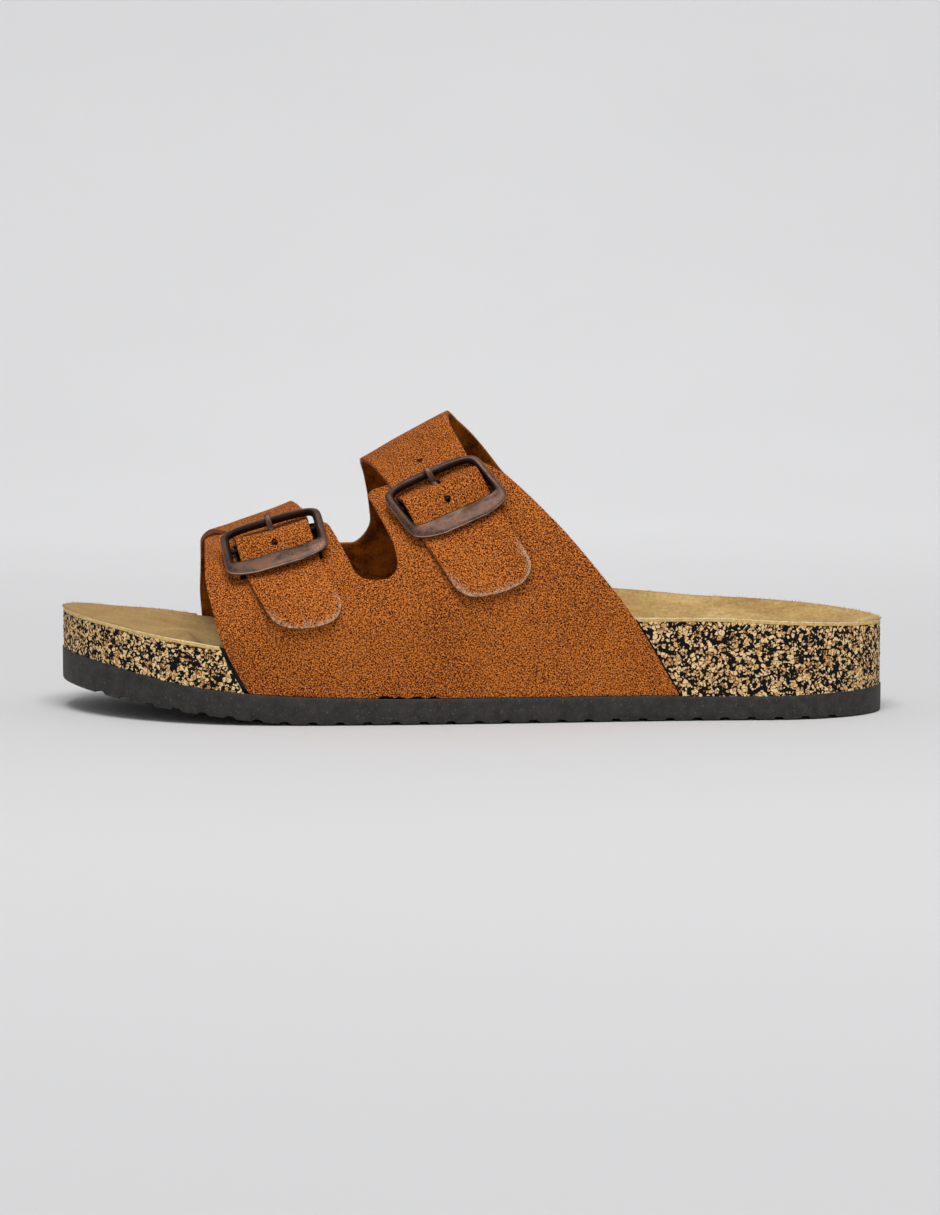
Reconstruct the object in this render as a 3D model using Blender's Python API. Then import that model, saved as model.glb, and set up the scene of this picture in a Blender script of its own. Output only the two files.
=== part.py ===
"""Flat sandal for the left foot: rubber outsole, cork midsole, suede insole, two-strap upper and buckles.

The toe points to -X, the heel to +X, the outer side of the foot to -Y, and the floor is at Z = 0.
Sizes are millimetres. Each mesh is scaled to metres as it is made.
"""

import math
from collections import namedtuple

import bmesh
import bpy
import numpy as np
from mathutils import Matrix, Vector

METRES = 0.001
LATERAL, MEDIAL = -1, 1

# Driving dimensions
LENGTH = 278.0
GAP = 0.3
BED_GAP = 0.4
INSOLE_THICK = 1.2
UPPER_THICK = 1.8
OUTSOLE_PROUD = 0.4

# Outline of the sole: the toe's tip is set over to the inner side, and each end is rounded over a length
TOE_TIP_Y = 12.0
TOE_AXIS_LENGTH = 70.0
TOE_ROUND = {LATERAL: 75.0, MEDIAL: 50.0}
TOE_POWER = 2.0
HEEL_ROUND = {LATERAL: 42.0, MEDIAL: 36.0}
HEEL_POWER = {LATERAL: 2.0, MEDIAL: 2.3}
SOLE_SECTIONS = 32
SOLE_COLUMNS = 9

# Toe spring and tread
TOE_SPRING = 9.7
SPRING_LENGTH = 83.0
SPRING_POWER = 1.2
TREAD_PITCH = 9.0
TREAD_FIRST = 16.0
TREAD_COUNT = 28
GROOVE_TOP = 4.2
GROOVE_FLOOR = 2.0
GROOVE_DEPTH = 1.8
GROOVE_LIP = 0.2
TREAD_WAVES = 3
TREAD_WAVE_SIZE = 2.4
WAVE_FADE = 20.0
EDGE_ROUND = 1.2
TOE_PLAIN_ROWS = (0.4, 1.6, 4.0, 7.5, 11.5)
HEEL_PLAIN_ROWS = (11.0, 7.0, 3.6, 1.4, 0.4)

# Footbed dish: how flat its floor is before it turns up to the rim
DISH_POWER = 2.6

# A row for each section of the sole, at a distance t from the toe tip: half widths before the ends are
# rounded, height of the outsole's top, heights of the insole's top at both rims and along its middle
SoleRow = namedtuple("SoleRow", "t lateral medial outsole_top rim_lateral rim_medial bed")
SOLE_ROWS = (
    SoleRow(0, 49.0, 46.0, 20.5, 34.2, 34.2, 34.2),
    SoleRow(15, 49.0, 46.0, 18.4, 32.1, 31.4, 29.2),
    SoleRow(30, 49.0, 46.2, 15.6, 29.8, 29.7, 26.2),
    SoleRow(44, 49.0, 46.8, 13.0, 27.6, 27.8, 23.6),
    SoleRow(60, 49.2, 47.8, 11.0, 25.6, 26.4, 21.0),
    SoleRow(85, 49.3, 49.0, 9.4, 24.4, 26.2, 19.0),
    SoleRow(115, 47.6, 48.2, 8.6, 25.6, 29.4, 19.6),
    SoleRow(145, 44.4, 44.0, 8.5, 29.0, 35.4, 23.2),
    SoleRow(168, 41.4, 39.4, 8.5, 32.2, 38.8, 26.0),
    SoleRow(194, 38.0, 36.2, 8.5, 34.2, 37.6, 27.2),
    SoleRow(219, 35.4, 34.4, 8.0, 34.0, 35.5, 26.2),
    SoleRow(240, 34.3, 34.0, 8.0, 32.9, 34.4, 25.2),
    SoleRow(260, 34.0, 34.0, 8.5, 31.9, 32.8, 26.0),
    SoleRow(278, 33.8, 34.0, 9.0, 31.0, 31.0, 31.0),
)

# A row for each upright section of the last that the upper is shaped on: the ridge of the upper's outer
# face, the heights up to which each wall stands upright, and how full the arch between wall and ridge is
LastRow = namedtuple("LastRow", "x ridge_z ridge_y wall_lateral wall_medial fullness")
LAST_ROWS = (
    LastRow(-104, 54.3, 11.0, 29.0, 31.0, 0.48),
    LastRow(-88, 60.3, 12.0, 28.0, 31.0, 0.48),
    LastRow(-61, 69.8, 13.0, 28.0, 31.0, 0.46),
    LastRow(-38, 84.1, 14.0, 30.0, 34.0, 0.38),
    LastRow(-8, 100.0, 15.0, 33.0, 39.0, 0.34),
    LastRow(20, 112.8, 15.5, 36.0, 41.0, 0.34),
    LastRow(45, 121.8, 15.5, 37.0, 41.0, 0.34),
    LastRow(74, 128.8, 15.5, 37.0, 40.0, 0.34),
)
MEDIAL_FULLER = 0.16
SECTION_STEPS = 41
NORMAL_STEP = 0.1

# Panel edges on each side, a knot for each corner: place, height (None is the ridge's) and corner radius
Knot = namedtuple("Knot", "x z side radius")
LATERAL_FRONT = (
    Knot(-80.5, 26.4, LATERAL, 90.0),
    Knot(-86.4, 44.0, LATERAL, 60.0),
    Knot(-89.0, 56.8, LATERAL, 3.0),
)
LATERAL_SLOT = (
    Knot(-47.0, 63.6, LATERAL, 3.0),
    Knot(-36.3, 46.4, LATERAL, 7.0),
    Knot(-22.3, 46.4, LATERAL, 7.0),
    Knot(-24.8, 57.5, LATERAL, 12.0),
    Knot(-34.6, 73.0, LATERAL, 3.0),
)
LATERAL_REAR = (
    Knot(2.6, 84.4, LATERAL, 12.0),
    Knot(12.0, 79.8, LATERAL, 5.0),
    Knot(32.2, 60.7, LATERAL, 120.0),
    Knot(53.7, 34.8, LATERAL, 120.0),
)
LATERAL_FOOT_X = (-71.6, 69.0)
MEDIAL_FRONT = (Knot(-95.4, 36.0, MEDIAL, 40.0), Knot(-93.2, 54.0, MEDIAL, 20.0))
MEDIAL_SLOT = (
    Knot(-60.0, 64.0, MEDIAL, 14.0),
    Knot(-54.6, 52.5, MEDIAL, 7.0),
    Knot(-34.2, 52.5, MEDIAL, 7.0),
    Knot(-35.5, 70.0, MEDIAL, 30.0),
)
MEDIAL_REAR = (
    Knot(10.6, 79.2, MEDIAL, 60.0),
    Knot(28.5, 58.0, MEDIAL, 120.0),
    Knot(51.5, 34.8, MEDIAL, 120.0),
)
MEDIAL_FOOT_X = (-93.5, 68.0)

# A row for each strap: where it crosses the ridge, its buckle's centre on the panel, the slope of the
# buckle's bars in the flat pattern, its half width, and the length and lean to the heel of its lower end
Strap = namedtuple("Strap", "name ridge_front ridge_rear buckle_x buckle_z slope half tip lean")
STRAPS = (
    Strap("front", -88.0, -61.0, -62.9, 54.0, math.radians(11.0), 12.6, 32.4, 0.3),
    Strap("rear", -38.0, -10.0, -6.9, 69.9, math.radians(24.0), 13.5, 37.1, 0.1),
)
TIP_NARROWER = 0.6
TIP_SLANT = 0.11
TIP_CORNER = 9.0
TIP_CROWN = 2.5
TIP_ROOT = 10.0
TIP_END_ROUND = 30.0
STRAP_BEND = 50.0

# Height of a strap's inner face over the panel's outer face, at distances up it from the buckle's middle
StrapLift = namedtuple("StrapLift", "up lift")
STRAP_LIFTS = (
    StrapLift(-60.0, 1.1),
    StrapLift(-34.0, 1.0),
    StrapLift(-20.0, 0.6),
    StrapLift(-12.0, 0.4),
    StrapLift(-7.0, 0.4),
    StrapLift(3.8, 3.9),
    StrapLift(9.0, 0.6),
    StrapLift(12.0, 0.4),
    StrapLift(28.0, -UPPER_THICK),
    StrapLift(90.0, -UPPER_THICK),
)

# Buckle frame: outside and window half sizes, how much its bars bow, how square its corners are, and how
# far the lower bar's face falls to its outer edge
BUCKLE_HALF_LENGTH = 17.4
BUCKLE_HALF_HEIGHT = 13.7
BUCKLE_TOP_BOW = 0.19
BUCKLE_BOTTOM_BOW = 0.26
BUCKLE_SQUARENESS = 9.0
BUCKLE_FALL = 1.2
WINDOW_HALF_LENGTH = 14.4
WINDOW_TOP = 10.3
WINDOW_TOP_BOW = 0.05
WINDOW_BOTTOM = 7.0
FRAME_THICK = 2.8
FRAME_CHAMFER = 0.8
FRAME_STEPS = 36
CHORD_HALF = 12.0
SEAT_STEPS = 5
SEAT_GAP = 0.55

# The side rails reach down to hold the centre bar
RAIL_HALF_HEIGHT = 9.0
RAIL_REACH = 0.9
RAIL_BELOW_BAR = 0.4
BAR_UP = 4.0
BAR_RADIUS = 0.9
BAR_OVER_PANEL = 0.4
BAR_INTO_RAIL = 1.2
BAR_SIDES = 10

# Prong, its hole, and the upper's loops round the centre bar
PRONG_HALF_WIDTH = 0.9
PRONG_HALF_THICK = 0.6
PRONG_TIP_UP = 14.4
PRONG_RISE = 0.5
PRONG_HOOK = (math.radians(-15), math.radians(100))
PRONG_SECTION = ((1, 0.4), (0.5, 1), (-0.5, 1), (-1, 0.4), (-1, -0.4), (-0.5, -1), (0.5, -1), (1, -0.4))
HOLE_GAP = 0.4
LOOP_INNER = 0.45
LOOP_THICK = 1.9
LOOP_SPAN = (2.4, 8.6)
LOOP_SUNK = 0.8
ARC_STEPS = 9

# Squares that a flat pattern is cut into, and finer rows and columns for a strap at and below its buckle
PATTERN_STEP = 7.0
STRAP_ROWS = (-24.0, -16.0, -11.0, -7.5, -5.0, -2.0, 1.0, 3.0, 5.0, 6.5, 8.0, 10.0, 12.5)
STRAP_COLUMNS = (-7.5, 0.0, 7.5)
STRAP_ZONE_TOP = 15.0
STRAP_ZONE_HALF = 22.0
CUT_TOLERANCE = 0.1
CORNER_STEPS = 4
FOOT_STEPS = 10

# Recesses that the panels are set into
RECESS_FRONT_GAP = 1.6
RECESS_REAR_GAP = 0.45
RECESS_BELOW = 4.0


def monotone_curve(places, values):
    """A smooth curve through values at rising places that never overshoots them."""
    places = np.array(places, float)
    values = np.array(values, float)
    steps = np.diff(places)
    slopes = np.diff(values) / steps
    rates = np.zeros_like(values)
    rates[0] = slopes[0]
    rates[-1] = slopes[-1]
    for i in range(1, len(values) - 1):
        before, after = slopes[i - 1], slopes[i]
        if before * after > 0:
            near, far = 2 * steps[i] + steps[i - 1], steps[i] + 2 * steps[i - 1]
            rates[i] = (near + far) / (near / before + far / after)

    def curve(place):
        place = np.asarray(place, float)
        i = np.clip(np.searchsorted(places, place) - 1, 0, len(steps) - 1)
        f = np.clip((place - places[i]) / steps[i], 0.0, 1.0)
        rise = values[i + 1] - values[i]
        start = rates[i] * steps[i]
        end = rates[i + 1] * steps[i]
        return values[i] + f * (start + f * (3 * rise - 2 * start - end + f * (start + end - 2 * rise)))

    return curve


def table_curves(rows, key):
    """One smooth curve for each column of a table, over its key column, by column name."""
    places = [getattr(row, key) for row in rows]
    names = [name for name in rows[0]._fields if name != key]
    return {name: monotone_curve(places, [getattr(row, name) for row in rows]) for name in names}


SOLE = table_curves(SOLE_ROWS, "t")
LAST = table_curves(LAST_ROWS, "x")
LIFT = table_curves(STRAP_LIFTS, "up")["lift"]


def rounded_end(distance, length, power):
    """How wide a rounded end is, from 0 at its tip to 1 where it is full, at a distance from the tip."""
    short = 1 - np.clip(np.asarray(distance, float) / length, 0.0, 1.0)
    return np.clip(1 - short**power, 0.0, 1.0) ** (1 / power)


def sole_edge(x, side, grow=0.0):
    """Y of one edge of the sole's outline, grown outwards all round."""
    t = (np.asarray(x, float) + LENGTH / 2 + grow) * LENGTH / (LENGTH + 2 * grow)
    axis = TOE_TIP_Y * np.clip(1 - t / TOE_AXIS_LENGTH, 0.0, 1.0) ** 2
    half = SOLE["lateral" if side == LATERAL else "medial"](t) + grow
    toe = rounded_end(t, TOE_ROUND[side], TOE_POWER)
    heel = rounded_end(LENGTH - t, HEEL_ROUND[side], HEEL_POWER[side])
    return axis + side * half * toe * heel


def floor_height(x):
    """Height of the outsole's underside, which springs up to the toe."""
    t = np.asarray(x, float) + LENGTH / 2
    return TOE_SPRING * np.clip(1 - t / SPRING_LENGTH, 0.0, 1.0) ** SPRING_POWER


def outsole_top(x):
    """Height of the outsole's top."""
    return SOLE["outsole_top"](np.asarray(x, float) + LENGTH / 2)


def bed_height(x, across):
    """Height of the insole's top, at across from -1 on the outer rim to 1 on the inner rim."""
    t = np.asarray(x, float) + LENGTH / 2
    across = np.asarray(across, float)
    rim = np.where(across < 0, SOLE["rim_lateral"](t), SOLE["rim_medial"](t))
    bed = SOLE["bed"](t)
    return bed + (rim - bed) * np.abs(across) ** DISH_POWER


def half_section(x, side):
    """Y, Z and girth of half sections of the last, from the outsole's top to the ridge, a row for each x."""
    x = np.asarray(x, float)[:, None]
    base_y = sole_edge(x, side) - side * UPPER_THICK
    wall_z = LAST["wall_lateral" if side == LATERAL else "wall_medial"](x)
    ridge_y = LAST["ridge_y"](x)
    ridge_z = LAST["ridge_z"](x) - UPPER_THICK
    full = LAST["fullness"](x) + (MEDIAL_FULLER if side == MEDIAL else 0.0)
    f = np.linspace(0.0, 1.0, SECTION_STEPS)[None, :]
    start, leave, reach, end = (1 - f) ** 3, 3 * (1 - f) ** 2 * f, 3 * (1 - f) * f**2, f**3
    y = base_y * (start + leave) + (ridge_y + (base_y - ridge_y) * full) * reach + ridge_y * end
    z = wall_z * start + (wall_z + (ridge_z - wall_z) * full) * leave + ridge_z * (reach + end)
    y = np.hstack([base_y, y])
    z = np.hstack([outsole_top(x) + GAP, z])
    girth = np.cumsum(np.hypot(np.diff(y, axis=1), np.diff(z, axis=1)), axis=1)
    return y, z, np.hstack([np.zeros_like(base_y), girth])


def along_section(x, girth, side):
    """Points of the last at a girth up from the sole on one side, going past the ends in a straight line."""
    y, z, run = half_section(x, side)
    i = np.clip((run <= girth[:, None]).sum(axis=1) - 1, 0, run.shape[1] - 2)
    row = np.arange(len(x))
    f = (girth - run[row, i]) / (run[row, i + 1] - run[row, i])
    point_y = y[row, i] + f * (y[row, i + 1] - y[row, i])
    point_z = z[row, i] + f * (z[row, i + 1] - z[row, i])
    return np.stack([x, point_y, point_z], 1)


def half_girth(x, side):
    """Girth from the sole up to the ridge on one side."""
    return half_section(np.atleast_1d(x), side)[2][:, -1]


def whole_girth(x):
    """Girth from the outer side's sole, over the ridge, to the inner side's sole."""
    return half_girth(x, LATERAL) + half_girth(x, MEDIAL)


def last_surface(x, girth):
    """Points of the last at a girth from the outer side's sole, over the ridge and down the inner side."""
    over = girth > half_girth(x, LATERAL)
    outer_side = along_section(x, girth, LATERAL)
    inner_side = along_section(x, whole_girth(x) - girth, MEDIAL)
    return np.where(over[:, None], inner_side, outer_side)


def on_last(x, girth, offset):
    """Points at an offset out from the last."""
    x = np.atleast_1d(np.asarray(x, float))
    girth = np.atleast_1d(np.asarray(girth, float))
    along = last_surface(x + NORMAL_STEP, girth) - last_surface(x - NORMAL_STEP, girth)
    up = last_surface(x, girth + NORMAL_STEP) - last_surface(x, girth - NORMAL_STEP)
    normal = np.cross(along, up)
    normal /= np.linalg.norm(normal, axis=1)[:, None]
    return last_surface(x, girth) + normal * np.asarray(offset, float).reshape(-1, 1)


def girth_at(x, z, side):
    """Girth from the sole up to a height on one side of the last."""
    _, heights, run = half_section(np.array([x]), side)
    return float(np.interp(z, heights[0], run[0]))


def flat_knot(knot):
    """A knot as its place, girth and corner radius in the flat pattern."""
    if knot.z is None:
        girth = half_girth(knot.x, LATERAL)[0]
    elif knot.side == LATERAL:
        girth = girth_at(knot.x, knot.z, LATERAL)
    else:
        girth = whole_girth(knot.x)[0] - girth_at(knot.x, knot.z, MEDIAL)
    return knot.x, girth, knot.radius


def strap_axes(strap):
    """A buckle's middle in the flat pattern, with steps along its bars and up its strap, square on it."""
    middle = np.array([strap.buckle_x, girth_at(strap.buckle_x, strap.buckle_z, LATERAL)])
    along = np.array([math.cos(strap.slope), math.sin(strap.slope)])
    up = np.array([-along[1], along[0]])
    here, ahead, above = last_surface(*np.stack([middle, middle + along, middle + up], 1))
    shear = (ahead - here) @ (above - here) / ((above - here) @ (above - here))
    return middle, along - shear * up, up


STRAP_AXES = {strap.name: strap_axes(strap) for strap in STRAPS}


def strap_point(strap, along, up):
    """Place and girth of a point on a strap: along its buckle's bars, and up from the buckle's middle."""
    middle, along_step, up_step = STRAP_AXES[strap.name]
    return middle + along * along_step + up * up_step


def strap_frame(strap, x, girth):
    """Distances along a buckle's bars and up its strap of points in the flat pattern."""
    middle, along_step, up_step = STRAP_AXES[strap.name]
    return np.linalg.solve(np.stack([along_step, up_step], 1), np.stack([x - middle[0], girth - middle[1]]))


def corner_arc(before, corner, after, radius):
    """Points of an arc that rounds a corner of an outline, no longer than half of either side."""
    back, ahead = before - corner, after - corner
    room = min(np.linalg.norm(back), np.linalg.norm(ahead)) / 2 - CUT_TOLERANCE
    back = back / np.linalg.norm(back)
    ahead = ahead / np.linalg.norm(ahead)
    half_angle = math.acos(np.clip(back @ ahead, -1.0, 1.0)) / 2
    cut = min(radius / math.tan(half_angle), room)
    if cut < CUT_TOLERANCE:
        return [corner]
    radius = cut * math.tan(half_angle)
    bisector = (back + ahead) / np.linalg.norm(back + ahead)
    centre = corner + bisector * radius / math.sin(half_angle)
    first = corner + back * cut - centre
    last = corner + ahead * cut - centre
    turn = math.atan2(first[0] * last[1] - first[1] * last[0], first @ last)
    arc = []
    for angle in np.linspace(0.0, turn, CORNER_STEPS + 1):
        cos, sin = math.cos(angle), math.sin(angle)
        arc.append(centre + np.array([first[0] * cos - first[1] * sin, first[0] * sin + first[1] * cos]))
    return arc


def rounded_outline(knots):
    """A closed outline through knots of place, girth and radius, with an arc at each corner."""
    points = [np.array(knot[:2]) for knot in knots]
    outline = []
    for i, knot in enumerate(knots):
        outline += corner_arc(points[i - 1], points[i], points[(i + 1) % len(points)], knot[2])
    return [tuple(point) for point in outline]


def zone_at(straps, x, girth):
    """Name of the strap that a point of the flat pattern lies on, at its buckle or below, or None."""
    for strap in straps:
        along, up = strap_frame(strap, x, girth)
        if abs(along) < STRAP_ZONE_HALF and up < STRAP_ZONE_TOP:
            return strap.name
    return None


def slice_sheet(sheet, straps, zone, points, direction):
    """Cuts the faces of one zone along lines through points of the flat pattern, all in one direction."""
    normal = Vector((-direction[1], direction[0], 0.0))
    for point in points:
        faces = [face for face in sheet.faces if zone_at(straps, *face.calc_center_median().xy) == zone]
        edges = {edge for face in faces for edge in face.edges}
        verts = {vert for face in faces for vert in face.verts}
        geometry = faces + list(edges) + list(verts)
        place = Vector((point[0], point[1], 0.0))
        bmesh.ops.bisect_plane(sheet, geom=geometry, dist=CUT_TOLERANCE, plane_co=place, plane_no=normal)


def split_at_strap(outline, strap):
    """Splits an outline along the top of a strap's zone, into the zone and the rest."""
    flat = np.array(outline)
    _, up = strap_frame(strap, flat[:, 0], flat[:, 1])
    inside = [i for i, point in enumerate(outline) if zone_at([strap], *point)]
    first, last = inside[0], inside[-1]

    def crossing(i, k):
        f = (STRAP_ZONE_TOP - up[i]) / (up[k] - up[i])
        return tuple(flat[i] + f * (flat[k] - flat[i]))

    enter, leave = crossing(first - 1, first), crossing(last, last + 1)
    zone = [enter, *outline[first : last + 1], leave]
    rest = [*outline[:first], enter, leave, *outline[last + 1 :]]
    return zone, rest


def grid_lines(low, high):
    """Places of the pattern's grid lines between two places."""
    return np.arange(math.ceil(low / PATTERN_STEP), high / PATTERN_STEP) * PATTERN_STEP


def pattern_sheet(outline, straps):
    """A flat sheet of the outline, with place and girth as X and Y, cut into squares and strap rows."""
    loops = []
    rest = outline
    for strap in straps:
        zone, rest = split_at_strap(rest, strap)
        loops.append(zone)
    loops.append(rest)
    sheet = bmesh.new()
    verts = {point: None for loop in loops for point in loop}
    for point in verts:
        verts[point] = sheet.verts.new((*point, 0.0))
    for loop in loops:
        sheet.faces.new([verts[point] for point in loop])
    for strap in straps:
        _, along_step, up_step = STRAP_AXES[strap.name]
        rows = [strap_point(strap, 0.0, row) for row in STRAP_ROWS]
        columns = [strap_point(strap, column, 0.0) for column in STRAP_COLUMNS]
        slice_sheet(sheet, straps, strap.name, rows, along_step)
        slice_sheet(sheet, straps, strap.name, columns, up_step)
    low_x, low_girth = np.min(outline, axis=0)
    high_x, high_girth = np.max(outline, axis=0)
    columns = [(x, 0.0) for x in grid_lines(low_x, high_x)]
    rows = [(0.0, girth) for girth in grid_lines(low_girth, high_girth)]
    slice_sheet(sheet, straps, None, columns, (0.0, 1.0))
    slice_sheet(sheet, straps, None, rows, (1.0, 0.0))
    bmesh.ops.dissolve_degenerate(sheet, dist=CUT_TOLERANCE, edges=sheet.edges)
    bmesh.ops.triangulate(sheet, faces=sheet.faces)
    return sheet


def new_object(name, points, faces, finish=None):
    """An object made of points in millimetres and faces that point outwards."""
    mesh = bpy.data.meshes.new(name)
    mesh.from_pydata((np.asarray(points, float) * METRES).tolist(), [], faces)
    mesh.validate()
    thing = bpy.data.objects.new(name, mesh)
    bpy.context.scene.collection.objects.link(thing)
    shape = bmesh.new()
    shape.from_mesh(mesh)
    bmesh.ops.recalc_face_normals(shape, faces=shape.faces)
    shape.to_mesh(mesh)
    shape.free()
    mesh.shade_smooth()
    mesh.set_sharp_from_angle(angle=math.radians(40))
    if finish:
        mesh.materials.append(finish)
    return thing


def shell_on_last(name, outline, inner, outer, finish=None, straps=()):
    """A closed wall over an outline in the flat pattern, between two offsets from the last."""
    sheet = pattern_sheet(outline, straps)
    sheet.verts.index_update()
    flat = np.array([vert.co[:2] for vert in sheet.verts])
    low = on_last(flat[:, 0], flat[:, 1], inner(flat))
    high = on_last(flat[:, 0], flat[:, 1], outer(flat))
    count = len(flat)
    faces = []
    for face in sheet.faces:
        ring = [vert.index for vert in face.verts]
        faces.append(ring)
        faces.append([i + count for i in reversed(ring)])
    for edge in sheet.edges:
        if edge.is_boundary:
            loop = edge.link_loops[0]
            a, b = loop.vert.index, loop.link_loop_next.vert.index
            faces.append([b, a, a + count, b + count])
    sheet.free()
    return new_object(name, np.vstack([low, high]), faces, finish)


def ring_body(name, rings, finish=None, closed=False):
    """A closed body through rings of points, capped at both ends unless the rings close in a loop."""
    rings = np.asarray(rings, float)
    count, size = rings.shape[:2]
    faces = []
    for i in range(count if closed else count - 1):
        here, there = i * size, (i + 1) % count * size
        for k in range(size):
            following = (k + 1) % size
            faces.append([here + k, here + following, there + following, there + k])
    if not closed:
        faces.append(list(range(size))[::-1])
        faces.append([(count - 1) * size + k for k in range(size)])
    return new_object(name, rings.reshape(-1, 3), faces, finish)


def finish_of(name, colour, roughness, metallic=0.0):
    """A plain finish with a colour, roughness and metallic value."""
    finish = bpy.data.materials.new(name)
    finish.use_nodes = True
    shader = finish.node_tree.nodes["Principled BSDF"]
    shader.inputs["Base Color"].default_value = (*colour, 1.0)
    shader.inputs["Roughness"].default_value = roughness
    shader.inputs["Metallic"].default_value = metallic
    finish.diffuse_color = (*colour, 1.0)
    return finish


def helper(thing):
    """Marks an object as a tool that shapes another."""
    thing.hide_render = True
    thing.display_type = "WIRE"
    return thing


def combine(thing, other, operation):
    """Joins a helper to an object, or cuts it away."""
    modifier = thing.modifiers.new(f"{operation.lower()} {other.name}", "BOOLEAN")
    modifier.operation = operation
    modifier.solver = "EXACT"
    modifier.object = other


def sole_places():
    """Places of the sole's sections, close together at the rounded ends."""
    turn = np.linspace(0.0, math.pi, SOLE_SECTIONS + 2)[1:-1]
    return -np.cos(turn) * LENGTH / 2


def outsole_rows():
    """Place and groove depth of each row of the tread, from toe to heel."""
    rows = [(t, 0.0) for t in TOE_PLAIN_ROWS]
    for i in range(TREAD_COUNT):
        middle = TREAD_FIRST + i * TREAD_PITCH
        rows += [
            (middle - GROOVE_TOP / 2, 0.0),
            (middle - GROOVE_FLOOR / 2, GROOVE_DEPTH),
            (middle + GROOVE_FLOOR / 2, GROOVE_DEPTH),
            (middle + GROOVE_TOP / 2, 0.0),
        ]
    rows += [(LENGTH - t, 0.0) for t in HEEL_PLAIN_ROWS if LENGTH - t > rows[-1][0] + GROOVE_FLOOR / 2]
    stretch = (LENGTH + 2 * OUTSOLE_PROUD) / LENGTH
    return [((t - LENGTH / 2) * stretch, depth) for t, depth in rows]


def build_outsole(finish):
    """The outsole, with wavy grooves across its underside."""
    across = np.linspace(0.0, 1.0, 2 * TREAD_WAVES + 1)
    wave = np.where(np.arange(len(across)) % 2 == 1, TREAD_WAVE_SIZE, 0.0)
    rings = []
    for x, depth in outsole_rows():
        left = sole_edge(x, LATERAL, OUTSOLE_PROUD)
        right = sole_edge(x, MEDIAL, OUTSOLE_PROUD)
        low = floor_height(x) + max(EDGE_ROUND, depth + GROOVE_LIP)
        end_room = np.clip((LENGTH / 2 - abs(x)) / WAVE_FADE, 0.0, 1.0)
        tread_x = (x + wave * end_room) * (1 - 2 * EDGE_ROUND / LENGTH)
        tread_left = sole_edge(tread_x, LATERAL, OUTSOLE_PROUD - EDGE_ROUND)
        tread_right = sole_edge(tread_x, MEDIAL, OUTSOLE_PROUD - EDGE_ROUND)
        tread_y = tread_left + (tread_right - tread_left) * across
        tread = np.stack([tread_x, tread_y, floor_height(tread_x) + depth], 1)
        top = outsole_top(x)
        rings.append([(x, left, top), (x, left, low), *tread, (x, right, low), (x, right, top)])
    return ring_body("outsole", rings, finish)


def bed_section(x):
    """Points across the insole's top at one place, from the outer rim to the inner rim."""
    across = np.sin(np.linspace(-math.pi / 2, math.pi / 2, SOLE_COLUMNS))
    left, right = sole_edge(x, LATERAL), sole_edge(x, MEDIAL)
    y = (left + right) / 2 + (right - left) / 2 * across
    return np.stack([np.full_like(y, x), y, bed_height(x, across)], 1)


def build_midsole(finish):
    """The cork midsole, dished on top and flat across its underside."""
    rings = []
    for x in sole_places():
        top = bed_section(x) - np.array([0.0, 0.0, INSOLE_THICK + BED_GAP])
        base = outsole_top(x) + GAP
        rings.append([*top, (x, top[-1][1], base), (x, top[0][1], base)])
    return ring_body("midsole", rings, finish)


def build_insole(finish):
    """The insole, a sheet of even thickness over the dish."""
    rings = []
    for x in sole_places():
        top = bed_section(x)
        rings.append([*top, *(top[::-1] - np.array([0.0, 0.0, INSOLE_THICK]))])
    return ring_body("insole", rings, finish)


def foot_line(first, last, side, below=0.0):
    """Points of a panel's lower edge from one place to another, on the outsole's top or below it."""
    if side == LATERAL:
        return [(first, -below, 0.0), (last, -below, 0.0)]
    return [(x, whole_girth(x)[0] + below, 0.0) for x in np.linspace(first, last, FOOT_STEPS)]


def lateral_outline():
    """Flat pattern of the outer panel with its two tabs."""
    front_x, rear_x = LATERAL_FOOT_X
    edge = [flat_knot(knot) for knot in LATERAL_FRONT + LATERAL_SLOT + LATERAL_REAR]
    return rounded_outline(edge + foot_line(rear_x, front_x, LATERAL))


def strap_knots(strap):
    """Corners of a strap from the ridge's front, round its tip and back to the ridge's rear."""
    tip_half = strap.half - TIP_NARROWER
    free = strap.tip - TIP_ROOT
    tip = (
        (-tip_half, TIP_CROWN - free, TIP_CORNER),
        (0.0, -free, TIP_END_ROUND),
        (tip_half, TIP_CROWN - free, TIP_CORNER),
    )
    corners = [(-strap.half, BUCKLE_HALF_HEIGHT, STRAP_BEND), (-strap.half, -TIP_ROOT, STRAP_BEND)]
    for along, up, radius in tip:
        corners.append((along - strap.lean * up, up - TIP_ROOT - TIP_SLANT * along, radius))
    corners += [(strap.half, -TIP_ROOT, STRAP_BEND), (strap.half, BUCKLE_HALF_HEIGHT, STRAP_BEND)]
    knots = [flat_knot(Knot(strap.ridge_front, None, LATERAL, STRAP_BEND))]
    knots += [(*strap_point(strap, along, up), radius) for along, up, radius in corners]
    knots.append(flat_knot(Knot(strap.ridge_rear, None, LATERAL, STRAP_BEND)))
    return knots


def medial_outline():
    """Flat pattern of the inner panel with its two straps."""
    front_x, rear_x = MEDIAL_FOOT_X
    front, rear = STRAPS
    knots = [flat_knot(knot) for knot in MEDIAL_FRONT]
    knots += strap_knots(front)
    knots += [flat_knot(knot) for knot in MEDIAL_SLOT]
    knots += strap_knots(rear)
    knots += [flat_knot(knot) for knot in MEDIAL_REAR]
    knots += foot_line(rear_x, front_x, MEDIAL)
    return rounded_outline(knots)


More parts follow.
